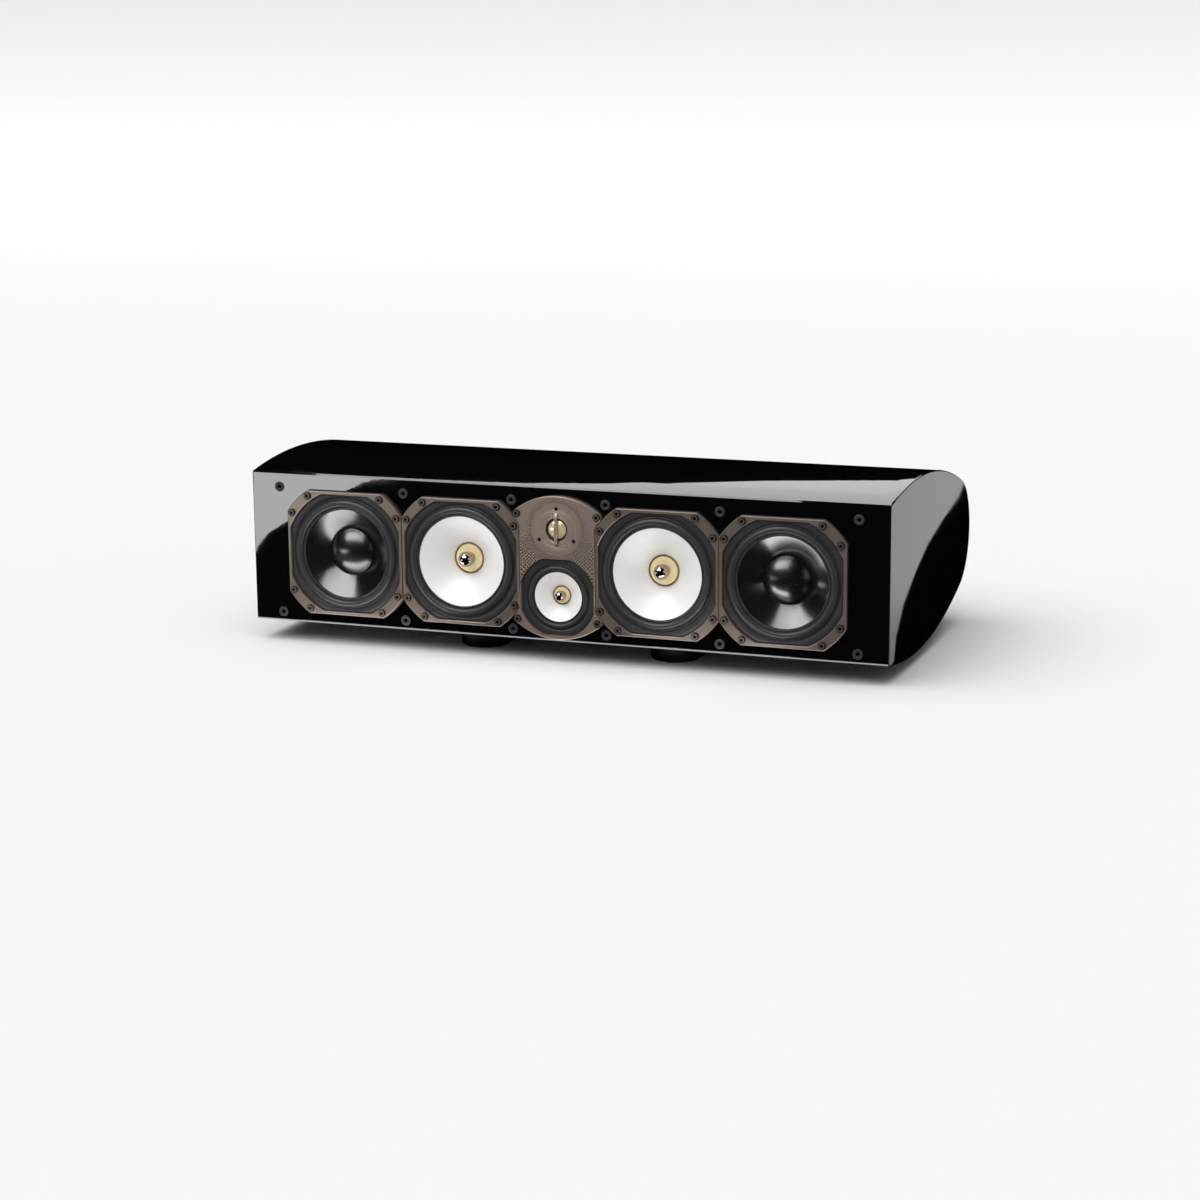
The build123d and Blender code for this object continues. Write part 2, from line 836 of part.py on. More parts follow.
# Centre plate, the shared casting of midrange and tweeter, with the bar in front of the dome
with BuildPart() as centre_plate:
    with BuildSketch(front_plane) as plate_outline:
        with Locations((0, row_z)):
            Circle(plate_radius)
        add(middle_frames, mode=Mode.SUBTRACT)
        corners = plate_outline.vertices().group_by(Axis.X)
        fillet(corners[1] + corners[-2], plate_notch_radius)
        corners = plate_outline.vertices().group_by(Axis.X)
        fillet(corners[0] + corners[-1], plate_ear_radius)
    extrude(amount=frame_proud)
    chamfer(centre_plate.edges().group_by(Axis.Y)[0], plate_bevel)
    with BuildSketch(face_at(-frame_proud)):
        cut_disc(0, midrange_z, midrange_opening_corner_radius, midrange_opening_side)
    extrude(amount=-(frame_proud - recess_floor), mode=Mode.SUBTRACT)
    basket_back(
        0,
        midrange_z,
        midrange_skirt_radius,
        midrange_skirt_wall,
        midrange_skirt_depth,
        midrange_ring_inner,
        midrange_ring_outer,
        midrange_ring_front,
        midrange_ring_back,
        midrange_spoke_width,
    )
    with BuildSketch(face_at(-frame_proud)):
        with Locations((0, tweeter_z)):
            Circle(throat_radius)
            with PolarLocations(tweeter_screw_offset, tweeter_screw_count, start_angle=tweeter_screw_start):
                Circle(tweeter_screw_radius + screw_clearance)
        with Locations(*plate_screws):
            Circle(screw_radius + screw_clearance)
    extrude(amount=-frame_proud, mode=Mode.SUBTRACT)
    add(tweeter_bar.part)
save(centre_plate, "centre_plate")

# Midrange
surround(
    0,
    midrange_z,
    "midrange_surround",
    midrange_opening_side,
    midrange_opening_corner_radius,
    midrange_roll_outer,
    midrange_roll_inner,
    midrange_roll_height,
    midrange_cone_edge,
)
midrange_former_outer = midrange_former_radius + midrange_former_wall
cone(
    0,
    midrange_z,
    "midrange_cone",
    midrange_cone_edge,
    midrange_roll_inner,
    midrange_bend_radius,
    midrange_bend_depth,
    midrange_former_outer + glue_gap,
    midrange_neck_depth,
)
voice_coil(
    0,
    midrange_z,
    "midrange_voice_coil",
    midrange_former_radius,
    midrange_former_wall,
    midrange_former_front,
    midrange_former_back,
)
spider(
    0,
    midrange_z,
    "midrange_spider",
    midrange_former_outer + fit_gap,
    midrange_ring_inner + spider_land,
    midrange_spider_radius,
    midrange_ring_front,
)
motor(
    0,
    midrange_z,
    "midrange_motor",
    midrange_ring_back,
    midrange_pole_radius,
    midrange_plate_hole,
    midrange_plate_radius,
    midrange_plate_thickness,
    midrange_magnet_radius,
    midrange_magnet_hole,
    midrange_magnet_thickness,
    midrange_yoke_thickness,
)
phase_plug(
    0,
    midrange_z,
    "midrange_phase_plug",
    midrange_plug_radius,
    midrange_plug_front,
    midrange_plug_bevel,
    midrange_ring_back,
)
plug_tip(
    0,
    midrange_z,
    "midrange_plug_tip",
    midrange_tip_radius,
    midrange_tip_foot_radius,
    midrange_tip_shoulder,
    midrange_plug_front,
)

# Tweeter: dome with its coil former, and the motor with its clamping ring
dome(0, tweeter_z, "tweeter_dome", dome_radius, dome_base, dome_height, dome_wall, dome_former_back)
with BuildPart() as tweeter_motor:
    with BuildSketch(turning_plane(0, tweeter_z)):
        with BuildLine():
            tweeter_pole = dome_radius - dome_wall - tweeter_gap
            tweeter_hole = dome_radius + tweeter_gap
            Polyline(
                (0, tweeter_pole_front),
                (tweeter_pole, tweeter_pole_front),
                (tweeter_pole, tweeter_yoke_front),
                (tweeter_magnet_hole, tweeter_yoke_front),
                (tweeter_magnet_hole, tweeter_front_plate),
                (tweeter_hole, tweeter_front_plate),
                (tweeter_hole, -tweeter_ring_proud),
                (throat_radius - fit_gap, -tweeter_ring_proud),
                (throat_radius - fit_gap, 0),
                (tweeter_flange_radius, 0),
                (tweeter_flange_radius, tweeter_flange_thickness),
                (tweeter_motor_radius, tweeter_flange_thickness),
                (tweeter_motor_radius, tweeter_motor_depth),
                (0, tweeter_motor_depth),
                close=True,
            )
        make_face()
    revolve(axis=turning_axis(0, tweeter_z))
    with BuildSketch(front_plane):
        with Locations((0, tweeter_z)):
            with PolarLocations(tweeter_screw_offset, tweeter_screw_count, start_angle=tweeter_screw_start):
                Circle(tweeter_screw_radius + screw_clearance)
    extrude(amount=-tweeter_flange_thickness, mode=Mode.SUBTRACT)
save(tweeter_motor, "tweeter_motor")

with BuildPart() as tweeter_screws:
    with BuildSketch(face_at(-frame_proud)):
        with Locations((0, tweeter_z)):
            with PolarLocations(tweeter_screw_offset, tweeter_screw_count, start_angle=tweeter_screw_start):
                Circle(tweeter_screw_head)
    extrude(amount=tweeter_screw_head_height)
    with BuildSketch(face_at(-frame_proud)):
        with Locations((0, tweeter_z)):
            with PolarLocations(tweeter_screw_offset, tweeter_screw_count, start_angle=tweeter_screw_start):
                Circle(tweeter_screw_radius)
    extrude(amount=-tweeter_screw_length)
save(tweeter_screws, "tweeter_screws")

# Terminal cup, let into the round back with a flange that follows it
cup_floor = cabinet_depth - cup_depth
cup_face = cup_floor + cup_wall
post_x = post_spacing / 2
with BuildPart() as terminal_cup:
    back_axis = (front_y + back_centre, middle_z)
    flange_edge = back_radius + cup_flange_thickness
    with BuildSketch(Plane.YZ):
        with Locations(back_axis):
            Circle(flange_edge)
            Circle(back_radius + glue_gap, mode=Mode.SUBTRACT)
            Rectangle(
                2 * flange_edge,
                cup_height + 2 * cup_flange,
                align=(Align.MIN, Align.CENTER),
                mode=Mode.INTERSECT,
            )
    extrude(amount=cup_width / 2 + cup_flange, both=True)
    with BuildSketch(Plane.YZ):
        with Locations(back_axis):
            Circle(flange_edge)
        with Locations((front_y + cup_floor, middle_z)):
            Rectangle(
                2 * flange_edge,
                cup_height - 2 * glue_gap,
                align=(Align.MIN, Align.CENTER),
                mode=Mode.INTERSECT,
            )
    extrude(amount=cup_width / 2 - glue_gap, both=True)
    with BuildSketch(face_at(cup_face)):
        with Locations((0, middle_z)):
            Rectangle(cup_width - 2 * cup_wall, cup_height - 2 * cup_wall)
    extrude(amount=-cup_depth, mode=Mode.SUBTRACT)
    with BuildSketch(face_at(cup_floor)):
        with Locations((-post_x, middle_z), (post_x, middle_z)):
            Circle(post_radius + thread_gap)
    extrude(amount=-cup_wall, mode=Mode.SUBTRACT)
    cut_cup_screws()
save(terminal_cup, "terminal_cup")

with BuildPart() as terminal_screws:
    for plane in cup_screw_planes:
        with BuildSketch(plane):
            Circle(cup_screw_head_radius)
        extrude(amount=cup_screw_head_height)
        with BuildSketch(plane):
            Circle(cup_screw_radius)
        extrude(amount=-cup_screw_length)
save(terminal_screws, "terminal_screws")

# Binding posts through the cup's floor, each with a hole for a plug, and their nuts
with BuildPart() as binding_posts:
    with BuildSketch(face_at(cup_floor - post_tail)):
        with Locations((-post_x, middle_z), (post_x, middle_z)):
            Circle(post_radius)
    extrude(amount=-(post_tail + cup_wall + post_length))
    with BuildSketch(face_at(cup_face)):
        with Locations((-post_x, middle_z), (post_x, middle_z)):
            Circle(post_collar_radius)
    extrude(amount=-post_collar_height)
    with BuildSketch(face_at(cup_face + post_length)):
        with Locations((-post_x, middle_z), (post_x, middle_z)):
            Circle(plug_bore_radius)
    extrude(amount=plug_bore_depth, mode=Mode.SUBTRACT)
save(binding_posts, "binding_posts")

for x, name in ((-post_x, "red_post_nut"), (post_x, "black_post_nut")):
    with BuildPart() as post_nut:
        with BuildSketch(face_at(cup_face + post_collar_height + nut_gap)):
            with Locations((x, middle_z)):
                Circle(nut_radius)
                Circle(post_radius + thread_gap, mode=Mode.SUBTRACT)
                with PolarLocations(nut_radius, nut_flute_count):
                    Circle(nut_flute_radius, mode=Mode.SUBTRACT)
        extrude(amount=-nut_length)
    save(post_nut, name)

# Crossover board flat on the left end panel, with its coils and capacitors standing on it
board_x = end_panel_thickness - cabinet_width / 2
board_spot = (front_y + board_centre_depth, middle_z)
with BuildPart() as crossover_board:
    with BuildSketch(Plane.YZ.offset(board_x)):
        with Locations(board_spot):
            Rectangle(board_length, board_height)
    extrude(amount=board_thickness)
save(crossover_board, "crossover_board")

board_top = Plane.YZ.offset(board_x + board_thickness)
with BuildPart() as crossover_coils:
    with BuildSketch(board_top):
        with Locations((board_spot[0], board_spot[1] + coil_rise)):
            with GridLocations(coil_spacing, 0, 2, 1):
                Circle(coil_radius)
                Circle(coil_hole_radius, mode=Mode.SUBTRACT)
    extrude(amount=coil_height)
save(crossover_coils, "crossover_coils")

with BuildPart() as crossover_capacitors:
    with BuildSketch(board_top):
        with Locations((board_spot[0], board_spot[1] - coil_rise)):
            with GridLocations(capacitor_spacing, 0, capacitor_count, 1):
                Circle(capacitor_radius)
    extrude(amount=capacitor_length)
save(crossover_capacitors, "crossover_capacitors")
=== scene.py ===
# Center channel loudspeaker: gloss black cabinet, bronze castings, black and white cones
from math import atan2, cos, pi, radians, sin, sqrt

import bpy
import numpy as np
from mathutils import Matrix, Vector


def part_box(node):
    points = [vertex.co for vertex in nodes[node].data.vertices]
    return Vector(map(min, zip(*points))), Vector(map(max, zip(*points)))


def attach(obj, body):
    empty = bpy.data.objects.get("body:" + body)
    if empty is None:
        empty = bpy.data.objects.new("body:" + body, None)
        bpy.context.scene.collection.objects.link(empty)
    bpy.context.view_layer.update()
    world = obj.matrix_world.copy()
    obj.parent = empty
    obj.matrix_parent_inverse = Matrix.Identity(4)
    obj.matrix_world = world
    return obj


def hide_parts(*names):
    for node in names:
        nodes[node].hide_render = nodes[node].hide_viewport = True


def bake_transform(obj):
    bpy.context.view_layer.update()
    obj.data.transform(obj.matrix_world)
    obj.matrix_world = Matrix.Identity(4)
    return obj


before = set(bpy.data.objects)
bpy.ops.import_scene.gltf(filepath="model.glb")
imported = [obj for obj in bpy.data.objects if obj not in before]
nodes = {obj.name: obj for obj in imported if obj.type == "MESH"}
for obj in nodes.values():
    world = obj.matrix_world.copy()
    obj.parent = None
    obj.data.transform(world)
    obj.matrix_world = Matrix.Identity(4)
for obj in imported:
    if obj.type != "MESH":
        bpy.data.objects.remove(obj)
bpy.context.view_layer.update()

print("frame loaded:", len(nodes), "nodes")

# Lengths are written in millimetres and depths run back from the baffle's face
mm = 0.001
cabinet = {
    "width": 948.0, "halfFront": 109.0, "depth": 466.0, "baffle": 38.0, "wall": 22.0,
    "crownRadius": 766.0, "crownDepth": 151.0, "rim": 2.0, "flatRing": 0.5,
    "cupWidth": 150.0, "cupHeight": 72.0, "steps": 25,
}
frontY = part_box("front_baffle")[0].y / mm
middleZ = (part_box("front_baffle")[0].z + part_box("front_baffle")[1].z) / 2 / mm
rowZ = (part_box("left_mid_basket")[0].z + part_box("left_mid_basket")[1].z) / 2 / mm
midrangeZ = (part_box("midrange_cone")[0].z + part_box("midrange_cone")[1].z) / 2 / mm
tweeterZ = (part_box("tweeter_dome")[0].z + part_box("tweeter_dome")[1].z) / 2 / mm
driverX = {
    name: (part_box(name + "_basket")[0].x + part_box(name + "_basket")[1].x) / 2 / mm
    for name in ("left_woofer", "left_mid", "right_mid", "right_woofer")
}


# sRGB hex to linear light, with full alpha
def toLinear(code):
    parts = np.array([int(code[i:i + 2], 16) for i in (1, 3, 5)]) / 255
    linear = np.where(parts <= 0.04045, parts / 12.92, ((parts + 0.055) / 1.055) ** 2.4)
    return (*linear.tolist(), 1.0)


# Adds a node: inputs by name or place, each a number or the socket it is linked from
def addNode(tree, kind, inputs=None, **settings):
    node = tree.nodes.new("ShaderNode" + kind)
    for key, value in settings.items():
        setattr(node, key, value)
    for key, value in (inputs or {}).items():
        if isinstance(value, bpy.types.NodeSocket):
            tree.links.new(value, node.inputs[key])
        else:
            node.inputs[key].default_value = value
    return node


# A new finish with its shader and the piece's own coordinates in metres
def newFinish(name, colour, roughness, metallic=0.0, **sockets):
    finish = bpy.data.materials.new(name)
    finish.use_nodes = True
    tree = finish.node_tree
    shader = tree.nodes["Principled BSDF"]
    shader.inputs["Base Color"].default_value = toLinear(colour)
    shader.inputs["Roughness"].default_value = roughness
    shader.inputs["Metallic"].default_value = metallic
    for key, value in sockets.items():
        shader.inputs[key.replace("_", " ")].default_value = value
    place = addNode(tree, "TexCoord").outputs["Object"]
    return finish, tree, shader, place


# A finish with a mottle through it. A grain is the size of a noise in millimetres and its detail; tints are
# the two colours it goes between, sheen the range of roughness, relief a bump's strength and its height in
# millimetres. Sheen and relief follow the same grain unless they have their own
def mottled(name, colour, roughness, metallic, grain, tints=None, sheen=None, relief=None,
            sheenGrain=None, reliefGrain=None, **sockets):
    finish, tree, shader, place = newFinish(name, colour, roughness, metallic, **sockets)
    noises = {}
    for size, detail in dict.fromkeys((grain, sheenGrain or grain, reliefGrain or grain)):
        made = addNode(tree, "TexNoise", {"Vector": place, "Scale": 1 / (size * mm), "Detail": detail})
        noises[size, detail] = made.outputs[0]
    if tints:
        tint = addNode(tree, "Mix", {0: noises[grain], 6: toLinear(tints[0]), 7: toLinear(tints[1])},
                       data_type="RGBA")
        tree.links.new(tint.outputs[2], shader.inputs["Base Color"])
    if sheen:
        spread = addNode(tree, "MapRange", {0: noises[sheenGrain or grain], 1: 0.3, 2: 0.7,
                                            3: sheen[0], 4: sheen[1]})
        tree.links.new(spread.outputs[0], shader.inputs["Roughness"])
    if relief:
        bump = addNode(tree, "Bump", {"Height": noises[reliefGrain or grain], "Strength": relief[0],
                                      "Distance": relief[1] * mm})
        tree.links.new(bump.outputs[0], shader.inputs["Normal"])
    return finish


# Sprayed and buffed polyester lacquer: deep black, mirror sharp, a trace of peel left after buffing
pianoLacquer = mottled("pianoLacquer", "#060708", 0.025, 0.0, (60, 4.0), ("#050607", "#08090a"),
                       sheen=(0.015, 0.035), relief=(0.02, 0.4), reliefGrain=(9, 1.0), IOR=1.52)

# Bare medium density fibreboard: tan, matt, short fibres
fibreboard = mottled("fibreboard", "#a5815a", 0.85, 0.0, (1.5, 5.0), ("#8d6b48", "#b8946b"),
                     relief=(0.4, 0.2))

# Die-cast aluminium, bead blasted and anodised bronze: satin, a fine grain that softens highlights;
# the 0.3 mm bead marks are drawn at 0.8 mm so that they show
castBronze = mottled("blastedBronzeCasting", "#7a6e65", 0.36, 0.5, (0.8, 3.0), ("#6e635a", "#857970"),
                     sheen=(0.31, 0.4), sheenGrain=(40, 2.0), relief=(0.2, 0.1))

# The same casting with rows of small dimples round the tweeter: 104 spokes, and rings spaced so that
# each cell stays square, which makes the dimples grow outwards, 2.2 mm apart at first and 5 mm at the end;
# drawn an eighth coarser than the casting's own so that they show, and darker, with painted shade in the
# pits.
# They thin out upwards and end beside the midrange. Inside them the disc is turned: fine rings, 0.2 mm apart,
# drawn at 0.7 mm
dimples = {"spokes": 104, "start": 36.5, "full": 38.0, "side": 57.0, "reach": 99.5, "edge": 0.6,
           "hole": 0.32, "softIn": 0.08, "softOut": 0.06, "thinFrom": 41.0, "thinTo": 48.0,
           "upFrom": -20.0, "upTo": 5.0, "end": 8.0, "face": 7.4, "discFade": 9.0}
plateBronze, tree, shader, place = newFinish("dimpledBronzeCasting", "#95857a", 0.38, 0.5)
parts = addNode(tree, "SeparateXYZ", {0: place})
up = addNode(tree, "Math", {0: parts.outputs[2], 1: tweeterZ * mm}, operation="SUBTRACT")
flat = addNode(tree, "CombineXYZ", {0: parts.outputs[0], 1: up.outputs[0]})
span = addNode(tree, "VectorMath", {0: flat.outputs[0]}, operation="LENGTH")
turn = addNode(tree, "Math", {0: up.outputs[0], 1: parts.outputs[0]}, operation="ARCTAN2")
growth = addNode(tree, "Math", {0: span.outputs["Value"], 1: np.e}, operation="LOGARITHM")
cellSides = []
for way in (turn, growth):
    row = addNode(tree, "Math", {0: way.outputs[0], 1: dimples["spokes"] / (2 * pi)}, operation="MULTIPLY")
    cellSides.append(addNode(tree, "Math", {0: row.outputs[0], 1: 0.5}, operation="PINGPONG").outputs[0])
cell = addNode(tree, "CombineXYZ", dict(enumerate(cellSides)))
fromDimple = addNode(tree, "VectorMath", {0: cell.outputs[0]}, operation="LENGTH")
hole = addNode(tree, "MapRange", {0: fromDimple.outputs["Value"], 3: 1.0, 4: 0.0,
                                  1: dimples["hole"] - dimples["softIn"],
                                  2: dimples["hole"] + dimples["softOut"]})
# Where the dimples are, as a product of soft limits: ring, sides, top arc, face, lower end, thinning
aside = addNode(tree, "Math", {0: parts.outputs[0]}, operation="ABSOLUTE")
upRow = addNode(tree, "Math", {0: parts.outputs[2], 1: rowZ * mm}, operation="SUBTRACT")
fromRow = addNode(tree, "CombineXYZ", {0: parts.outputs[0], 1: upRow.outputs[0]})
rowSpan = addNode(tree, "VectorMath", {0: fromRow.outputs[0]}, operation="LENGTH")
limits = [(span.outputs["Value"], dimples["start"], dimples["full"], 0.0, 1.0),
          (aside.outputs[0], dimples["side"], dimples["side"] + dimples["edge"], 1.0, 0.0),
          (rowSpan.outputs["Value"], dimples["reach"], dimples["reach"] + dimples["edge"], 1.0, 0.0),
          (parts.outputs[2], midrangeZ + dimples["end"], midrangeZ + 2 * dimples["end"], 0.0, 1.0),
          (span.outputs["Value"], dimples["thinFrom"], dimples["thinTo"], 0.0, 1.0),
          (up.outputs[0], dimples["upFrom"], dimples["upTo"], 0.0, 1.0)]
beyond, within, inside, above, outwards, upwards = [
    addNode(tree, "MapRange", {0: measure, 1: start * mm, 2: end * mm, 3: first, 4: last})
    for measure, start, end, first, last in limits]
ahead = addNode(tree, "Math", {0: parts.outputs[1], 1: (frontY - dimples["face"]) * mm},
                operation="LESS_THAN")
thinned = addNode(tree, "Math", {0: outwards.outputs[0], 1: upwards.outputs[0]}, operation="MULTIPLY")
kept = addNode(tree, "Math", {0: 1.0, 1: thinned.outputs[0]}, operation="SUBTRACT")
pit = hole
for limit in (beyond, within, inside, ahead, above, kept):
    pit = addNode(tree, "Math", {0: pit.outputs[0], 1: limit.outputs[0]}, operation="MULTIPLY")
grain = addNode(tree, "TexNoise", {"Vector": place, "Scale": 1 / (0.8 * mm), "Detail": 3.0})
tint = addNode(tree, "Mix", {0: grain.outputs[0], 6: toLinear("#8a7b70"), 7: toLinear("#a09084")},
               data_type="RGBA")
# Painted shade: the pits are darkened to #1f1814 over the casting's tint
shade = addNode(tree, "Mix", {0: pit.outputs[0], 6: tint.outputs[2], 7: toLinear("#1f1814")},
                data_type="RGBA")
tree.links.new(shade.outputs[2], shader.inputs["Base Color"])
rings = addNode(tree, "TexNoise", {"W": span.outputs["Value"], "Scale": 1 / (0.7 * mm), "Detail": 1.0},
                noise_dimensions="1D")
onDisc = addNode(tree, "MapRange", {0: span.outputs["Value"], 2: dimples["start"] * mm,
                                    1: (dimples["start"] - dimples["discFade"]) * mm, 3: 0.8, 4: 0.0})
turnedBump = addNode(tree, "Bump", {"Height": rings.outputs[0], "Strength": onDisc.outputs[0],
                                    "Distance": 0.5 * mm})
grainBump = addNode(tree, "Bump", {"Height": grain.outputs[0], "Strength": 0.25, "Distance": 0.1 * mm,
                                   "Normal": turnedBump.outputs[0]})
pitBump = addNode(tree, "Bump", {"Height": pit.outputs[0], "Strength": 0.7, "Distance": 0.5 * mm,
                                 "Normal": grainBump.outputs[0]}, invert=True)
tree.links.new(pitBump.outputs[0], shader.inputs["Normal"])

# Moulded butyl rubber: dark grey, soft sheen, faint bloom
butyl = mottled("mouldedButylRubber", "#333134", 0.42, 0.0, (25, 3.0), ("#2f2d2f", "#383638"),
                sheen=(0.34, 0.46), relief=(0.12, 0.1), reliefGrain=(1.2, 2.0),
                IOR=1.52, Specular_IOR_Level=0.3)

# Mica-filled polypropylene, moulded in a polished tool: black, glossy, bright soft highlights with a
# faint mottle; the 0.2 mm mica is drawn at 0.9 mm so that it shows
blackCone = mottled("mouldedMicaPolypropylene", "#131314", 0.16, 0.0, (30, 3.0), ("#101011", "#171718"),
                    sheen=(0.14, 0.2), relief=(0.22, 0.1), reliefGrain=(0.9, 1.0),
                    IOR=1.49, Specular_IOR_Level=1.0)

# The dust caps, of the same plastic without mica: satin, with wide soft highlights
blackCap = mottled("satinPolypropylene", "#0e0e0f", 0.25, 0.0, (20, 3.0), ("#0c0c0d", "#111112"),
                   sheen=(0.22, 0.28), IOR=1.49, Specular_IOR_Level=1.0)

# Ceramic-coated aluminium sheet: near white, satin, with the coating's fine stipple; the 0.3 mm
# stipple is drawn at 1.1 mm so that it shows
whiteCone, tree, shader, place = newFinish("ceramicCoatedAluminium", "#f2f1ef", 0.42, IOR=1.6)
stipple = addNode(tree, "TexVoronoi", {"Vector": place, "Scale": 1 / (1.1 * mm)})
cloud = addNode(tree, "TexNoise", {"Vector": place, "Scale": 1 / (50 * mm), "Detail": 2.0})
tint = addNode(tree, "Mix", {0: stipple.outputs["Distance"], 6: toLinear("#eae8e5"),
                             7: toLinear("#f9f8f7")}, data_type="RGBA")
tree.links.new(tint.outputs[2], shader.inputs["Base Color"])
cloudRange = addNode(tree, "MapRange", {0: cloud.outputs[0], 1: 0.3, 2: 0.7, 3: 0.36, 4: 0.48})
tree.links.new(cloudRange.outputs[0], shader.inputs["Roughness"])
stippleBump = addNode(tree, "Bump", {"Height": stipple.outputs["Distance"], "Strength": 0.15,
                                     "Distance": 0.1 * mm})
tree.links.new(stippleBump.outputs[0], shader.inputs["Normal"])

# Turned aluminium, gold anodised: pale gold, satin, with a fine grain
goldAnodised = mottled("turnedGoldAnodised", "#feebb6", 0.34, 0.03, (0.7, 2.0), ("#fce3a2", "#fff1c8"),
                       sheen=(0.28, 0.4))

# Turned brass, bronze plated and polished: a dark mirror with sharp highlights
bronzeMirror = mottled("polishedBronzePlate", "#b3a396", 0.07, 1.0, (4, 3.0), ("#aa998c", "#bcaca0"),
                       sheen=(0.05, 0.1))

# Drawn aluminium dome, gold anodised: thin foil, smooth sheen
goldDome = mottled("drawnGoldFoil", "#f4e4b4", 0.2, 0.4, (3, 2.0), ("#efdca4", "#f9ecc6"),
                   sheen=(0.17, 0.23))

# Socket screws, bronze, with painted shade: the dark outer ring of each head is a painted shadow of the gap
# round it, and the dark hex socket is painted shade; tone goes by the distance from each screw's axis
screwPaintedShade, tree, shader, place = newFinish("bronzeScrewsPaintedShade", "#3a332f", 0.42, Specular_IOR_Level=0.2)
reach = addNode(tree, "Attribute", attribute_name="reach")
# Painted shadow: the head goes dark beyond 0.72 to 0.78 of its radius; painted shade: dark inside 0.44 to 0.5
crown = addNode(tree, "MapRange", {0: reach.outputs["Fac"], 1: 0.72, 2: 0.78, 3: 1.0, 4: 0.0})
socket = addNode(tree, "MapRange", {0: reach.outputs["Fac"], 1: 0.44, 2: 0.5, 3: 0.0, 4: 1.0})
unshadedBand = addNode(tree, "Math", {0: crown.outputs[0], 1: socket.outputs[0]}, operation="MULTIPLY")
wear = addNode(tree, "TexNoise", {"Vector": place, "Scale": 1 / (2 * mm), "Detail": 3.0})
# Dark #0b0908 is the painted shadow and shade, #6c5e56 the bronze between them
tint = addNode(tree, "Mix", {0: unshadedBand.outputs[0], 6: toLinear("#0b0908"), 7: toLinear("#6c5e56")},
               data_type="RGBA")
tree.links.new(tint.outputs[2], shader.inputs["Base Color"])
# The metal is turned off where the shadow and shade are painted
metallicOutsideShade = addNode(tree, "MapRange", {0: unshadedBand.outputs[0], 3: 0.0, 4: 0.6})
tree.links.new(metallicOutsideShade.outputs[0], shader.inputs["Metallic"])
wearRange = addNode(tree, "MapRange", {0: wear.outputs[0], 1: 0.3, 2: 0.7, 3: 0.36, 4: 0.5})
tree.links.new(wearRange.outputs[0], shader.inputs["Roughness"])

# Moulded nitrile rubber of the grille's sockets: dark grey, low sheen, matt skin
nitrile = mottled("mouldedNitrileRubber", "#2e2e30", 0.55, 0.0, (1.5, 3.0), ("#28282a", "#363638"),
                  relief=(0.15, 0.1), IOR=1.52, Specular_IOR_Level=0.25)

# Moulded rubber of the feet: black, low sheen, matt skin
footRubber = mottled("blackMouldedFoot", "#0c0d0e", 0.5, 0.0, (2, 3.0), ("#090a0b", "#111213"),
                     relief=(0.1, 0.1), IOR=1.52, Specular_IOR_Level=0.25)

# Moulded ABS with a spark-eroded texture: black, matt, fine pits
mouldedAbs = mottled("texturedAbs", "#1a1a1b", 0.55, 0.0, (0.9, 2.0), ("#151516", "#222224"),
                     relief=(0.35, 0.15))

# Brass, gold plated: warm metal, even polish
goldPlate = mottled("goldPlatedBrass", "#e3bf6a", 0.18, 1.0, (3, 3.0), sheen=(0.14, 0.26))

# Zinc-plated steel of magnets and yokes: grey, slightly cloudy
zincSteel = mottled("zincPlatedSteel", "#8d8f92", 0.4, 0.9, (8, 4.0), sheen=(0.32, 0.5))

# Woven and wound pieces are drawn as waves; a wave node of scale 0.314 repeats once in a metre
waveOnce = 0.314

# Cotton cloth stiffened with resin: brown, matt, two crossed waves of 1.5 mm threads
spiderCloth, tree, shader, place = newFinish("resinedCottonCloth", "#b58a4e", 0.8)
warp, weft = [addNode(tree, "TexWave", {"Vector": place, "Scale": waveOnce / (1.5 * mm)}, bands_direction=way)
              for way in ("X", "Z")]
weave = addNode(tree, "Math", {0: warp.outputs[1], 1: weft.outputs[1]}, operation="MULTIPLY")
tint = addNode(tree, "Mix", {0: weave.outputs[0], 6: toLinear("#8f6a38"), 7: toLinear("#c79c60")},
               data_type="RGBA")
tree.links.new(tint.outputs[2], shader.inputs["Base Color"])
weaveBump = addNode(tree, "Bump", {"Height": weave.outputs[0], "Strength": 0.4, "Distance": 0.2 * mm})
tree.links.new(weaveBump.outputs[0], shader.inputs["Normal"])

# Wound copper wire, enamelled: warm, bright, turns 0.9 mm apart
copperWire, tree, shader, place = newFinish("enamelledCopperWire", "#b4633a", 0.3, 0.85)
winding = addNode(tree, "TexWave", {"Vector": place, "Scale": waveOnce / (0.9 * mm)}, bands_direction="X")
windingBump = addNode(tree, "Bump", {"Height": winding.outputs[1], "Strength": 0.6, "Distance": 0.4 * mm})
tree.links.new(windingBump.outputs[0], shader.inputs["Normal"])
tint = addNode(tree, "Mix", {0: winding.outputs[1], 6: toLinear("#8d4726"), 7: toLinear("#c4744a")},
               data_type="RGBA")
tree.links.new(tint.outputs[2], shader.inputs["Base Color"])

# Laminated glass epoxy board: green, smooth, its weave 1.2 mm apart
epoxyBoard, tree, shader, place = newFinish("glassEpoxyBoard", "#1f4a33", 0.4)
weave = addNode(tree, "TexWave", {"Vector": place, "Scale": waveOnce / (1.2 * mm)}, bands_direction="Z")
tint = addNode(tree, "Mix", {0: weave.outputs[1], 6: toLinear("#1a422d"), 7: toLinear("#24523a")},
               data_type="RGBA")
tree.links.new(tint.outputs[2], shader.inputs["Base Color"])

# Rolled aluminium of the coil formers, gold anodised: brownish, smooth, slightly uneven
former = mottled("rolledGoldAluminium", "#b08d62", 0.35, 0.5, (5, 2.0), ("#a38056", "#bd9a6f"))

# Plastic film wound round the capacitors: yellow, smooth
filmWrap = mottled("wrappedFilmCapacitor", "#c7a33a", 0.35, 0.0, (6, 2.0), ("#b8942f", "#d4b04a"))

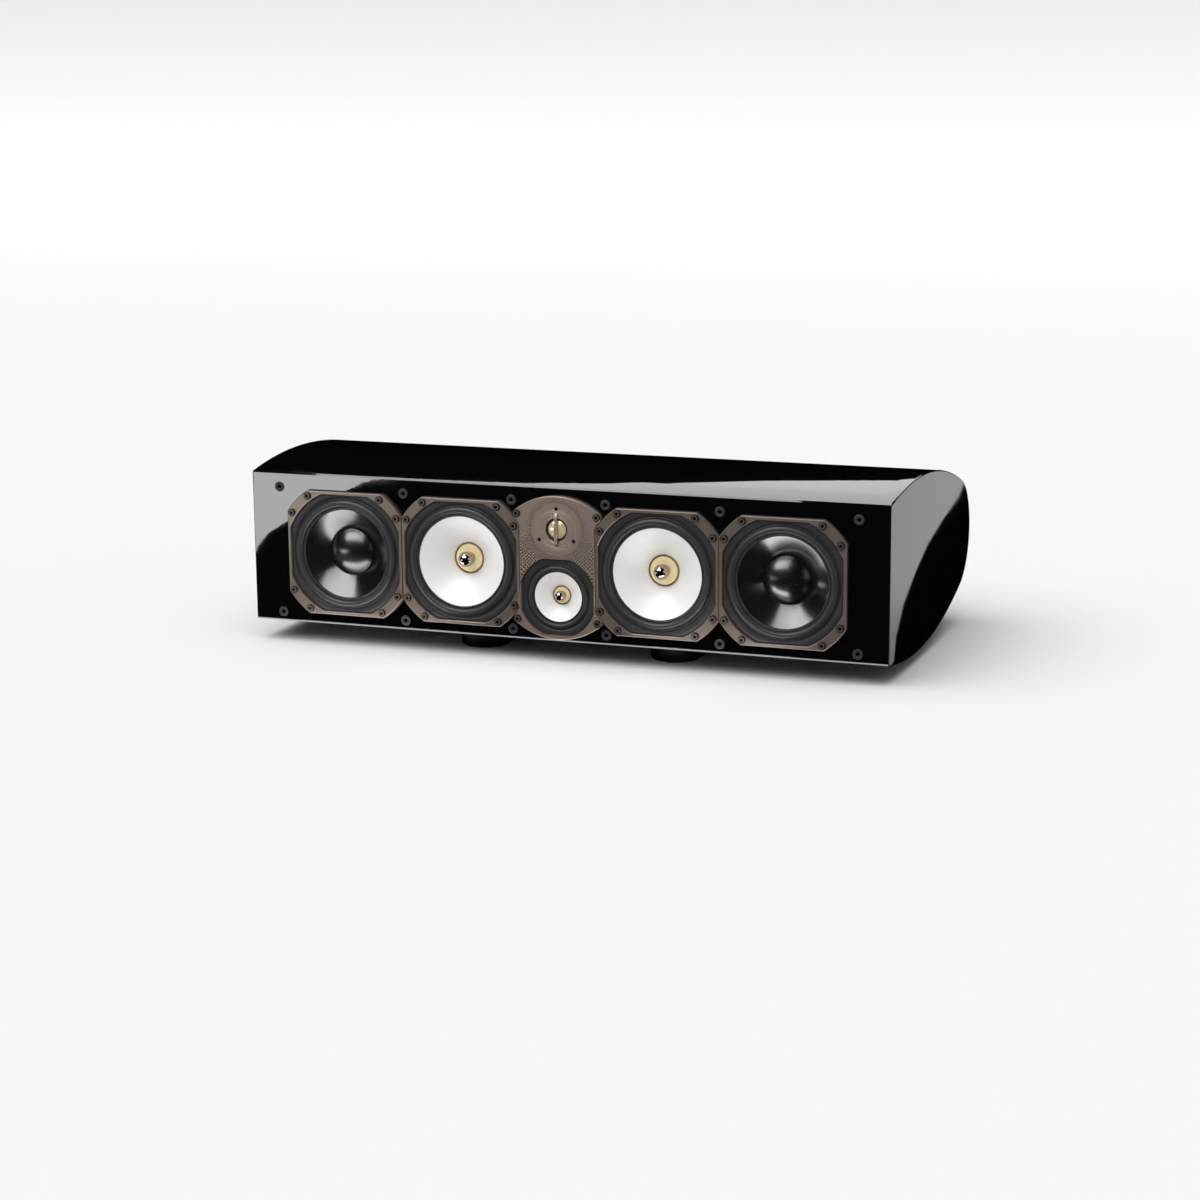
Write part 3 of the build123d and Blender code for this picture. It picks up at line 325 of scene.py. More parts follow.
# Moulded polycarbonate post nuts, red and black: clear-edged gloss
redNut = mottled("redPolycarbonate", "#a3141a", 0.2, 0.0, (4, 2.0), ("#960f15", "#b01c22"), IOR=1.58)
blackNut = mottled("blackPolycarbonate", "#101011", 0.2, 0.0, (4, 2.0), ("#0c0c0d", "#161618"), IOR=1.58)
print("finishes made")


# Puts a worked-out surface into the scene, smooth with creases kept, in metres
def newPiece(name, points, faces, finish, body=None, stands=(), crease=35):
    mesh = bpy.data.meshes.new(name)
    mesh.from_pydata((points * mm).tolist(), [], faces)
    mesh.shade_smooth()
    mesh.set_sharp_from_angle(angle=radians(crease))
    mesh.materials.append(finish)
    piece = bpy.data.objects.new(name, mesh)
    bpy.context.scene.collection.objects.link(piece)
    if body:
        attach(piece, body)
    if stands:
        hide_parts(*stands)
    return piece


# A turned form: each row is a radius and a depth, single or one for each angle, carried round the axis
# that points out of the front. Point = centre + radius cos a along x, radius sin a along z, depth along y.
# Rows run from the middle of the front outwards and round to the back; a row of no radius is one point.
def turned(rows, angles, centres, loop=False):
    radius = np.stack([np.broadcast_to(r, angles.shape) for r, d in rows]).astype(float)
    depth = np.stack([np.broadcast_to(d, angles.shape) for r, d in rows]).astype(float)
    count, around = radius.shape
    ring = np.stack([radius * np.cos(angles), frontY + depth, radius * np.sin(angles)], axis=-1)
    index = np.arange(count * around).reshape(count, around)
    poles = ~radius.any(axis=1)
    index[poles] = index[poles][:, :1]
    low = index if loop else index[:-1]
    high = np.roll(index, -1, axis=0) if loop else index[1:]
    quads = np.stack([low, high, np.roll(high, -1, axis=1), np.roll(low, -1, axis=1)], axis=-1)
    firstPole, lastPole = quads[..., 0] == quads[..., 3], quads[..., 1] == quads[..., 2]
    tris = np.concatenate([quads[firstPole][:, :3], quads[lastPole][:, [0, 1, 3]]])
    quads = quads[~(firstPole | lastPole)]
    used = np.unique(np.concatenate([quads.ravel(), tris.ravel()]))
    points = ring.reshape(-1, 3)[used]
    quads, tris = np.searchsorted(used, quads), np.searchsorted(used, tris)
    middles = np.array([(x, 0.0, z) for x, z in centres])
    shift = len(used) * np.arange(len(middles))[:, None, None]
    points = (middles[:, None, :] + points).reshape(-1, 3)
    faces = (quads + shift).reshape(-1, 4).tolist() + (tris + shift).reshape(-1, 3).tolist()
    return points, faces


# Depth on the circle through three points of radius and depth, at each radius asked for
def arcDepth(points, radius):
    p = np.array(points, float)
    centre = np.linalg.solve(2 * (p[1:] - p[0]), (p[1:] ** 2 - p[0] ** 2).sum(axis=1))
    reachSquared = ((p[0] - centre) ** 2).sum()
    side = np.sign(p[1, 1] - centre[1])
    return centre[1] + side * np.sqrt(reachSquared - (radius - centre[0]) ** 2)


# Disc with four flats: the radius at each angle is the circle's or the flat's, whichever is nearer
def flatCut(angles, radius, side):
    return np.minimum(radius, side / 2 / np.maximum(np.abs(np.cos(angles)), np.abs(np.sin(angles))))


# Even angles with the corners of a flat-cut disc among them
def cutAngles(count, radius, side):
    corner = np.arccos(side / 2 / radius)
    corners = np.add.outer(np.arange(4) * pi / 2, [-corner, corner]).ravel() % (2 * pi)
    return np.unique(np.round(np.concatenate([np.arange(count) * 2 * pi / count, corners]), 9))


roundSteps = 144
roundAngles = np.arange(roundSteps) * 2 * pi / roundSteps
smallAngles = roundAngles[::4]
quarter = np.linspace(0, pi / 2, 6)
crownCentre = cabinet["halfFront"] - sqrt(cabinet["crownRadius"] ** 2 - cabinet["crownDepth"] ** 2)


# Side view from the front of the top, round the back, to the front of the underside, inside the outer
# face by an inset: two crown arcs joined by the back's arc. Columns are depth and height from the middle.
def sideView(inset, front, steps=72, keepHeights=()):
    runBack = cabinet["depth"] - cabinet["crownDepth"]
    backRadius = (cabinet["crownRadius"] ** 2 - runBack ** 2 - crownCentre ** 2) / (
        2 * (cabinet["crownRadius"] - runBack))
    backCentre = cabinet["depth"] - backRadius
    reach = cabinet["crownRadius"] - inset
    tilt = atan2(backCentre - cabinet["crownDepth"], -crownCentre)  # from straight up, where the arcs join
    first = np.arcsin((front - cabinet["crownDepth"]) / reach)
    sweep = np.linspace(first, tilt, steps)
    top = np.stack([cabinet["crownDepth"] + reach * np.sin(sweep), crownCentre + reach * np.cos(sweep)], -1)
    small = backRadius - inset
    kept = np.arccos(np.array(keepHeights, float) / small)
    arc = np.unique(np.concatenate([np.linspace(tilt, pi - tilt, steps), kept]))[1:-1]
    back = np.stack([backCentre + small * np.sin(arc), small * np.cos(arc)], -1)
    under = top[::-1] * (1, -1)
    return np.concatenate([top, back, under])


# Shell: outer and inner side view as one closed line carried along x; faces over the terminal cup's
# opening are left out and its four walls put in
lip = cabinet["cupHeight"] / 2
outer = sideView(0.0, cabinet["baffle"], keepHeights=(lip, -lip))
inner = sideView(cabinet["wall"], cabinet["baffle"], keepHeights=(lip, -lip))
count = len(outer)
line = np.concatenate([outer, inner[::-1]])
shellEnd = cabinet["width"] / 2 - cabinet["wall"]
halfCup = cabinet["cupWidth"] / 2
stations = np.unique(np.concatenate([np.linspace(-shellEnd, shellEnd, cabinet["steps"]),
                                     [-halfCup, halfCup]]))
grid = np.empty((len(stations), len(line), 3))
grid[..., 0] = stations[:, None]
grid[..., 1] = frontY + line[:, 0]
grid[..., 2] = middleZ + line[:, 1]
index = np.arange(grid.shape[0] * grid.shape[1]).reshape(grid.shape[:2])
nextLine = np.roll(index, -1, axis=1)
quads = np.stack([index[:-1], index[1:], nextLine[1:], nextLine[:-1]], axis=-1)
midX = (stations[:-1] + stations[1:]) / 2
midLine = (line + np.roll(line, -1, axis=0)) / 2
atBack = (np.abs(midLine[:, 1]) < lip) & (midLine[:, 0] > cabinet["depth"] / 2)
overCup = (np.abs(midX) < halfCup)[:, None] & atBack[None, :]
shellFaces = quads[~overCup]
near = np.flatnonzero(np.isclose(np.abs(line[:, 1]), lip) & (line[:, 0] > cabinet["depth"] / 2))
outTop, outLow, inLow, inTop = near
across = np.flatnonzero(np.abs(stations) <= halfCup + 1e-6)
here, there = across[:-1], across[1:]
topWall = np.stack([index[here, outTop], index[there, outTop], index[there, inTop], index[here, inTop]], -1)
lowWall = np.stack([index[here, inLow], index[there, inLow], index[there, outLow], index[here, outLow]], -1)
outside = np.arange(outTop, outLow)
behind = 2 * count - 1 - outside
first, last = across[0], across[-1]
leftWall = np.stack([index[first, outside], index[first, behind], index[first, behind - 1],
                     index[first, outside + 1]], -1)
rightWall = np.stack([index[last, outside], index[last, outside + 1], index[last, behind - 1],
                      index[last, behind]], -1)
outside = np.arange(count - 1)
behind = 2 * count - 1 - outside
leftCap = np.stack([index[0, outside], index[0, outside + 1], index[0, behind - 1], index[0, behind]], -1)
rightCap = np.stack([index[-1, outside], index[-1, behind], index[-1, behind - 1],
                     index[-1, outside + 1]], -1)
faces = np.concatenate([shellFaces, topWall, lowWall, leftWall, rightWall, leftCap, rightCap]).tolist()
newPiece("cabinetShell", grid.reshape(-1, 3), faces, pianoLacquer, "cabinet", ["cabinet_shell"])

# End panels: the side view carried out through the panel and drawn in round the rim along a quarter circle;
# a narrow flat ring inside the rim lets the face shade flat
face = cabinet["width"] / 2
steps = [(0.0, face - cabinet["wall"])]
steps += [(cabinet["rim"] * (1 - cos(t)), face - cabinet["rim"] * (1 - sin(t))) for t in quarter]
steps += [(cabinet["rim"] + cabinet["flatRing"], face)]
outlines = np.stack([sideView(inset, cabinet["baffle"]) for inset, x in steps])
for side, name, node in ((-1, "leftEndPanel", "left_end_panel"), (1, "rightEndPanel", "right_end_panel")):
    grid = np.empty(outlines.shape[:2] + (3,))
    grid[..., 0] = np.array([side * x for inset, x in steps])[:, None]
    grid[..., 1] = frontY + outlines[..., 0]
    grid[..., 2] = middleZ + outlines[..., 1]
    index = np.arange(grid.shape[0] * grid.shape[1]).reshape(grid.shape[:2])
    turn = np.roll(index, -1, axis=1)
    quads = np.stack([index[:-1], index[1:], turn[1:], turn[:-1]], axis=-1).reshape(-1, 4)
    faces = quads.tolist() + [index[0].tolist(), index[-1][::-1].tolist()]
    if side < 0:
        faces = [f[::-1] for f in faces]
    newPiece(name, grid.reshape(-1, 3), faces, pianoLacquer, "cabinet", [node])

# Feet: a long rounded outline carried up from the sole, drawn in at the sole's edge along a quarter
# circle, with its top on the curve of the underside
foot = {"width": 70.0, "length": 210.0, "front": 44.0, "edge": 5.0, "x": 145.0, "gap": 0.3}
around = np.linspace(0, 2 * pi, 120, endpoint=False)
footMiddle = foot["front"] + foot["length"] / 2
straight = (foot["length"] - foot["width"]) / 2
reaches = [foot["width"] / 2 - foot["edge"] * (1 - sin(t)) for t in quarter] + [foot["width"] / 2]
depth = footMiddle + np.sign(np.round(np.sin(around), 9)) * straight + np.outer(reaches, np.sin(around))
under = middleZ - crownCentre - np.sqrt((cabinet["crownRadius"] + foot["gap"]) ** 2
                                        - (depth[-1] - cabinet["crownDepth"]) ** 2)
z = np.stack([np.full(around.shape, foot["edge"] * (1 - cos(t))) for t in quarter] + [under])
for side, name, node in ((-1, "leftFoot", "left_foot"), (1, "rightFoot", "right_foot")):
    x = side * foot["x"] + np.outer(reaches, np.cos(around))
    grid = np.stack([x, frontY + depth, z], axis=-1)
    index = np.arange(grid.shape[0] * grid.shape[1]).reshape(grid.shape[:2])
    turn = np.roll(index, -1, axis=1)
    quads = np.stack([index[:-1], turn[:-1], turn[1:], index[1:]], axis=-1).reshape(-1, 4)
    half = len(around) // 2
    top = index[-1]
    pair = np.arange(1, half - 1)
    lid = np.stack([top[pair], top[pair + 1], top[-pair - 1], top[-pair]], -1).tolist()
    lid += [[int(top[0]), int(top[1]), int(top[-1])],
            [int(top[half - 1]), int(top[half]), int(top[half + 1])]]
    faces = quads.tolist() + [index[0][::-1].tolist()] + lid
    newPiece(name, grid.reshape(-1, 3), faces, footRubber, "cabinet", [node])
print("cabinet dressed")

# Rubber sockets of the grille: a flange with a soft rim and a blind bore; the rim's pairs are how far in
# from the flange's edge and how far proud
sockets = {"x": (70.0, 235.5, 430.4), "rise": 91.8, "flange": 7.4, "proud": 1.2, "bore": 3.0, "lead": 0.5,
           "boreDepth": 13.0, "body": 5.3, "depth": 16.0, "rim": ((0.9, 1.2), (0.3, 0.95), (0.0, 0.4))}
spots = [(side * x, rowZ + rise * sockets["rise"])
         for x in sockets["x"] for side in (-1, 1) for rise in (-1, 1)]
rows = [(0, sockets["boreDepth"]), (sockets["bore"], sockets["boreDepth"]),
        (sockets["bore"], sockets["lead"] - sockets["proud"]),
        (sockets["bore"] + sockets["lead"], -sockets["proud"])]
rows += [(sockets["flange"] - inward, -proud) for inward, proud in sockets["rim"]]
rows += [(sockets["flange"], 0.0), (sockets["body"], 0.0), (sockets["body"], sockets["depth"]),
         (0, sockets["depth"])]
points, faces = turned(rows, smallAngles, spots)
newPiece("grilleSockets", points, faces, nitrile, "cabinet", ["grille_sockets"], crease=50)

# Screws: low round heads with a six-sided socket; six flats, radius = across / cos of the angle from the
# nearest flat's middle. Mouth and crown hold pairs: how far out from the flats or in from the head's edge,
# and how far down from the top. Tone is a set distance for the finish, in place of the true one; at 0.95 it
# puts the whole head in the painted shadow of the outer ring
screwSeat = -7.5
driverScrews = {"near": 56.5, "far": 82.0, "plate": (59.6, 74.9), "head": 5.5, "height": 2.4, "shank": 2.4,
                "tip": 16.5, "hex": 2.15, "point": 1.9, "socket": 1.7, "mouth": ((0.0, 0.1), (0.25, 0.0)),
                "crown": ((1.2, 0.0), (0.5, 0.2), (0.0, 0.8)), "tone": None}
tweeterScrews = {"offset": 29.5, "turns": (90, 210, 330), "head": 2.5, "height": 1.0, "shank": 1.3,
                 "tip": 3.0, "hex": 1.0, "point": 0.9, "socket": 0.8, "mouth": ((0.0, 0.0),),
                 "crown": ((0.5, 0.0), (0.0, 0.5)), "tone": 0.95}


def dressScrews(name, node, sizes, spots):
    hexRadius = sizes["hex"] / np.cos((smallAngles + pi / 6) % (pi / 3) - pi / 6)
    head, shank, tip, top = sizes["head"], sizes["shank"], sizes["tip"], screwSeat - sizes["height"]
    rows = [(0, top + sizes["point"]), (hexRadius, top + sizes["socket"])]
    rows += [(hexRadius + out, top + down) for out, down in sizes["mouth"]]
    rows += [(head - inward, top + down) for inward, down in sizes["crown"]]
    rows += [(head, screwSeat), (shank, screwSeat), (shank, tip), (0, tip)]
    points, faces = turned(rows, smallAngles, spots)
    piece = newPiece(name, points, faces, screwPaintedShade, "cabinet", [node])
    each = points.reshape(len(spots), -1, 3) - np.array([(x, 0, z) for x, z in spots])[:, None, :]
    share = np.hypot(each[..., 0], each[..., 2]).ravel() / head
    if sizes["tone"]:
        share[:] = sizes["tone"]
    piece.data.attributes.new("reach", "FLOAT", "POINT").data.foreach_set("value", share.astype(np.float32))


near, far = driverScrews["near"], driverScrews["far"]
plateX, plateZ = driverScrews["plate"]
spots = [(x + sideX * across, rowZ + sideZ * rise) for x in driverX.values()
         for across, rise in ((near, far), (far, near)) for sideX in (-1, 1) for sideZ in (-1, 1)]
spots += [(sideX * plateX, rowZ + sideZ * plateZ) for sideX in (-1, 1) for sideZ in (-1, 1)]
dressScrews("driverScrews", "driver_screws", driverScrews, spots)
ring = tweeterScrews["offset"]
spots = [(ring * cos(radians(a)), tweeterZ + ring * sin(radians(a))) for a in tweeterScrews["turns"]]
dressScrews("tweeterScrews", "tweeter_screws", tweeterScrews, spots)
print("screws and sockets set")

# Surrounds, row by row from the cone out: a lip on the cone, a shallow groove, a half-round roll whose
# depth is its height times the sine of its turn, a deeper groove and the flat rim, then the same line back
# underneath
bigSurround = {"opening": 170.4, "corner": 92.5, "rimEdge": 82.4, "rollOut": 78.4, "rollIn": 68.2,
               "height": 5.0, "lip": 64.5, "hold": 66.0}
smallSurround = {"opening": 108.4, "corner": 58.0, "rimEdge": 47.6, "rollOut": 44.3, "rollIn": 37.9,
                 "height": 3.9, "lip": 35.2, "hold": 36.6}
seat, rubber, fitGap = -2.7, 0.8, 0.3
front = seat - rubber
# Small steps of the line as pairs: how far out from the place named and how far behind the seat or the front
fine = {"lipFront": ((0.0, 0.3), (0.3, 0.0)), "grooveFront": ((-1.6, 0.0), (-0.9, 0.7), (-0.3, 0.9)),
        "rollSeat": ((0.5, 1.0), (1.5, 1.4)), "rimSeat": ((-1.2, 1.0), (-0.6, -0.2)),
        "edgeFront": ((-0.6, 0.0), (0.0, 0.5)), "rimBack": ((-0.2, 0.0), (-0.8, 1.6)),
        "rollBack": ((1.5, 2.0), (0.2, 1.6)), "holdBack": ((0.5, 0.4), (0.2, 0.0)),
        "underGap": 0.6, "underLess": 0.2, "followOut": 0.3, "followIn": 0.2}


def dressSurround(driver, x, z, sizes):
    rimRadius, rimSide = sizes["corner"] - fitGap, sizes["opening"] - 2 * fitGap
    angles = cutAngles(roundSteps, rimRadius, rimSide)
    rim = flatCut(angles, rimRadius, rimSide)
    rollIn, rollOut, rimEdge, lip = sizes["rollIn"], sizes["rollOut"], sizes["rimEdge"], sizes["lip"]
    crest, half = (rollOut + rollIn) / 2, (rollOut - rollIn) / 2
    turns = np.linspace(0, pi, 33)
    rows = [(lip + out, front + back) for out, back in fine["lipFront"]]
    rows += [(rollIn + out, front + back) for out, back in fine["grooveFront"]]
    rows += [(crest - half * cos(t), seat - sizes["height"] * sin(t)) for t in turns]
    rows += [(rollOut + out, seat + back) for out, back in fine["rollSeat"]]
    rows += [(rimEdge + out, seat + back) for out, back in fine["rimSeat"]] + [(rimEdge, front)]
    rows += [(rim + out, front + back) for out, back in fine["edgeFront"]] + [(rim, seat)]
    rows += [(rimEdge + out, seat + back) for out, back in fine["rimBack"]]
    rows += [(rollOut + out, seat + back) for out, back in fine["rollBack"]]
    thin, low = half - rubber, sizes["height"] - fine["underLess"]
    rows += [(crest + thin * cos(t), seat + fine["underGap"] - low * sin(t)) for t in turns]
    rows += [(sizes["hold"] + out, seat + back) for out, back in fine["holdBack"]] + [(lip, seat)]
    points, faces = turned(rows, angles, [(x, z)], loop=True)
    piece = newPiece(driver + "Surround", points, faces, butyl, None, [driver + "_surround"],
                     50)
    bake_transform(piece)


# Cones: a circle through rim, bend and neck carried round the axis, and the same line a wall further back
coneWall = 1.0


def dressCone(driver, x, z, sizes, finish, body):
    radius = np.linspace(sizes["neck"][0], sizes["edge"], 40)
    depth = arcDepth([sizes["neck"], sizes["bend"], (sizes["edge"], seat)], radius)
    rows = list(zip(radius, depth)) + [(sizes["rim"], seat), (sizes["rim"], seat + coneWall)]
    rows += list(zip(radius[::-1], depth[::-1] + coneWall))
    points, faces = turned(rows, roundAngles, [(x, z)], loop=True)
    newPiece(driver + "Cone", points, faces, finish, body, [driver + "_cone"])


# Dust cap or dome: part of a sphere on a short straight rim, with its inner wall
def dressCap(name, x, z, sizes, finish, body, node):
    ball = (sizes["radius"] ** 2 + sizes["height"] ** 2) / (2 * sizes["height"])
    hollow = ball - sizes["wall"]
    centre = sizes["seat"] - sizes["height"] + ball
    outer = np.linspace(0, np.arcsin(sizes["radius"] / ball), 30)
    inner = np.linspace(np.arcsin((sizes["radius"] - sizes["wall"]) / hollow), 0, 20)
    rows = list(zip(ball * np.sin(outer), centre - ball * np.cos(outer)))
    rows += [(sizes["radius"], sizes["back"]), (sizes["radius"] - sizes["wall"], sizes["back"])]
    rows += list(zip(hollow * np.sin(inner), centre - hollow * np.cos(inner)))
    rows[0], rows[-1] = (0.0, rows[0][1]), (0.0, rows[-1][1])
    points, faces = turned(rows, roundAngles, [(x, z)])
    newPiece(name, points, faces, finish, body, [node])


# Phase plug: a disc with a chamfered rim; its tip, a taper that ends in half a ball
chamferBend = 0.3


def dressPlug(driver, x, z, sizes):
    radius, bevel, face = sizes["radius"], sizes["bevel"], sizes["front"]
    rows = [(0, face), (radius - bevel, face), (radius - chamferBend * bevel, face + chamferBend * bevel),
            (radius, face + bevel), (radius, sizes["back"]), (0, sizes["back"])]
    points, faces = turned(rows, roundAngles, [(x, z)])
    newPiece(driver + "PhasePlug", points, faces, goldAnodised, "cabinet", [driver + "_phase_plug"])
    turns = np.linspace(0, pi / 2, 24)
    rows = list(zip(sizes["tip"] * np.sin(turns), sizes["shoulder"] - sizes["tip"] * np.cos(turns)))
    rows[0] = (0.0, rows[0][1])
    rows += [(sizes["foot"], face), (0, face)]
    points, faces = turned(rows, roundAngles, [(x, z)])
    newPiece(driver + "PlugTip", points, faces, bronzeMirror, "cabinet", [driver + "_plug_tip"])


wooferCone = {"edge": 64.5, "rim": 66.0, "bend": (33.5, 17.5), "neck": (22.5, 26.0)}
midCone = {"edge": 64.5, "rim": 66.0, "bend": (44.0, 9.5), "neck": (22.5, 26.0)}
midrangeCone = {"edge": 35.2, "rim": 36.6, "bend": (24.0, 4.3), "neck": (13.7, 11.6)}
wooferCap = {"radius": 33.5, "seat": 16.2, "height": 13.0, "wall": 0.9, "back": 17.2}
midPlug = {"radius": 20.2, "front": 25.0, "bevel": 1.2, "back": 52.0, "tip": 11.0, "foot": 9.6,
           "shoulder": 14.0}
midrangePlug = {"radius": 11.9, "front": 11.0, "bevel": 0.8, "back": 25.0, "tip": 7.6, "foot": 6.6,
                "shoulder": 3.5}
tweeterDome = {"radius": 13.2, "seat": -4.0, "height": 3.6, "wall": 0.4, "back": 8.0}
for driver, x in driverX.items():
    dressSurround(driver, x, rowZ, bigSurround)
    if driver.endswith("woofer"):
        dressCone(driver, x, rowZ, wooferCone, blackCone, driver + "_diaphragm")
        dressCap(driver + "DustCap", x, rowZ, wooferCap, blackCap, driver + "_diaphragm",
                 driver + "_dust_cap")
    else:
        dressCone(driver, x, rowZ, midCone, whiteCone, driver + "_diaphragm")
        dressPlug(driver, x, rowZ, midPlug)
dressSurround("midrange", 0.0, midrangeZ, smallSurround)
dressCone("midrange", 0.0, midrangeZ, midrangeCone, whiteCone, "midrange_diaphragm")
dressPlug("midrange", 0.0, midrangeZ, midrangePlug)
dressCap("tweeterDome", 0.0, tweeterZ, tweeterDome, goldDome, "tweeter_diaphragm", "tweeter_dome")
print("drivers dressed")

# Finishes of the frame's own pieces, by the end of their names; the first that fits is taken
stays = {
    "basket": castBronze, "centre_plate": plateBronze, "front_baffle": pianoLacquer, "brace": fibreboard,
    "chamber": mouldedAbs, "voice_coil": former, "spider": spiderCloth, "tweeter_motor": mouldedAbs,
    "motor": zincSteel, "terminal_cup": mouldedAbs, "terminal_screws": zincSteel, "binding_posts": goldPlate,
    "red_post_nut": redNut, "black_post_nut": blackNut, "crossover_board": epoxyBoard,
    "crossover_coils": copperWire, "crossover_capacitors": filmWrap, "cabinet_shell": pianoLacquer,
    "end_panel": pianoLacquer, "foot": footRubber, "grille_sockets": nitrile, "driver_screws": screwPaintedShade,
    "tweeter_screws": screwPaintedShade, "surround": butyl, "dust_cap": blackCap, "woofer_cone": blackCone,
    "cone": whiteCone, "phase_plug": goldAnodised, "plug_tip": bronzeMirror, "tweeter_dome": goldDome,
}
for name, node in nodes.items():
    finish = next(stays[end] for end in stays if name.endswith(end))
    node.data.materials.clear()
    node.data.materials.append(finish)
print("frame finished")

# White sweep in metres: a flat floor that turns up along a quarter circle into a low wall a long way behind
sweep = {"front": -9.0, "turn": 7.0, "radius": 1.0, "wall": 2.0, "half": 14.0}
rise = np.linspace(0, pi / 2, 12)
profile = np.concatenate([[(sweep["front"], 0.0)],
                          np.stack([sweep["turn"] + sweep["radius"] * np.sin(rise),
                                    sweep["radius"] * (1 - np.cos(rise))], -1),
                          [(sweep["turn"] + sweep["radius"], sweep["wall"])]])
grid = np.empty((len(profile), 2, 3))
grid[..., 0] = (-sweep["half"], sweep["half"])
grid[..., 1:] = profile[:, None, :]
index = np.arange(len(profile) * 2).reshape(-1, 2)
quads = np.stack([index[:-1, 0], index[:-1, 1], index[1:, 1], index[1:, 0]], -1)
# Matt white paper, rolled out: even, without shine, with a trace of its fibre
paper = mottled("mattWhitePaper", "#f5f5f4", 0.9, 0.0, (3, 3.0), ("#f4f4f3", "#f7f7f6"),
                Specular_IOR_Level=0.0)
floor = newPiece("floorSweep", grid.reshape(-1, 3) / mm, quads.tolist(), paper)


# A flag or card of the studio, seen only in reflections; corners in metres, strength 0 is black cloth.
# A fade gives an axis, two places along it and the strength at each
def studioCard(name, corners, strength, fade=None):
    finish = bpy.data.materials.new(name)
    finish.use_nodes = True
    tree = finish.node_tree
    tree.nodes.remove(tree.nodes["Principled BSDF"])
    glow = addNode(tree, "Emission", {"Color": toLinear("#ffffff"), "Strength": strength})
    if fade:
        axis, start, end, first, last = fade
        spot = addNode(tree, "SeparateXYZ", {0: addNode(tree, "TexCoord").outputs["Object"]})
        ramp = addNode(tree, "MapRange", {0: spot.outputs[axis], 1: start, 2: end, 3: first, 4: last})
        tree.links.new(ramp.outputs[0], glow.inputs["Strength"])
    tree.links.new(glow.outputs[0], tree.nodes["Material Output"].inputs["Surface"])
    card = newPiece(name, np.array(corners, float) / mm, [list(range(len(corners)))], finish)
    card.visible_camera = False
    card.visible_diffuse = False
    card.visible_shadow = False
    card.visible_transmission = False


# Black mats on the floor and black drapes round it, which keep the lacquer dark. The rear mat's right edge
# is the dark edge that the right end panel mirrors
matEdges = {
    "frontMat": (0.001, ((-4, -6), (6, -6), (6, -0.34), (-4, -0.34))),
    "rearMat": (0.001, ((-0.52, -0.34), (0.47, -0.34), (0.507, -0.074), (0.541, 0.069), (0.586, 0.287),
                        (0.637, 0.581), (0.669, 0.784), (0.696, 0.994), (0.727, 1.26), (0.75, 1.4),
                        (0.765, 1.48), (0.6, 1.6), (0.6, 3.2), (-3.0, 3.2), (-3.0, 1.0), (-0.52, 0.6))),
    "sideMat": (0.002, ((-0.5, -0.34), (-0.5, 0.0), (-1.75, 0.42), (-1.75, 0.05))),
}
for name, (height, edge) in matEdges.items():
    studioCard(name, [(x, y, height) for x, y in edge], 0.0)
studioCard("rearDrape", [(-6, 3.2, 0.0), (6, 3.2, 0.0), (6, 3.2, 3.2), (-6, 3.2, 3.2)], 0.0)
studioCard("frontDrape", [(-6, -5.0, 0.0), (6, -5.0, 0.0), (6, -5.0, 5.0), (-6, -5.0, 5.0)], 0.0)
studioCard("leftDrape", [(-6, -5.0, 0.0), (-6, -0.5, 0.0), (-6, -0.5, 3.4), (-6, -5.0, 3.4)], 0.0)
studioCard("overDrape", [(-6, -5.0, 3.4), (6, -5.0, 3.4), (6, 3.2, 3.2), (-6, 3.2, 3.2)], 0.0)

# Bright cards low in front: one that the front's left end mirrors, two for the woofers' cones, and a strip
# for the front's lower bevel
lowCards = {
    "leftCard": (0.004, 9.0, None, ((-1.3, -1.75), (-0.75, -1.75), (-0.80, -1.62), (-0.868, -1.56),
                                    (-0.904, -1.529), (-0.909, -1.498), (-0.905, -1.464), (-0.858, -1.07),
                                    (-0.836, -0.957), (-0.797, -0.845), (-0.76, -0.76), (-1.3, -0.76))),
    "nearLeftCard": (0.006, 0.0, (1, -0.32, -0.22, 7.5, 1.3),
                     ((-0.455, -0.337), (-0.2, -0.337), (-0.2, -0.2), (-0.39, -0.2), (-0.424, -0.234),
                      (-0.453, -0.27))),
    "nearRightCard": (0.006, 0.0, (1, -0.3, -0.272, 9.0, 0.5),
                      ((0.1, -0.337), (0.305, -0.337), (0.328, -0.26), (0.1, -0.26))),
    "edgeCard": (0.008, 5.0, None, ((-0.49, -0.237), (0.47, -0.237), (0.47, -0.225), (-0.49, -0.225))),
}
for name, (height, strength, fade, edge) in lowCards.items():
    studioCard(name, [(x, y, height) for x, y in edge], strength, fade)

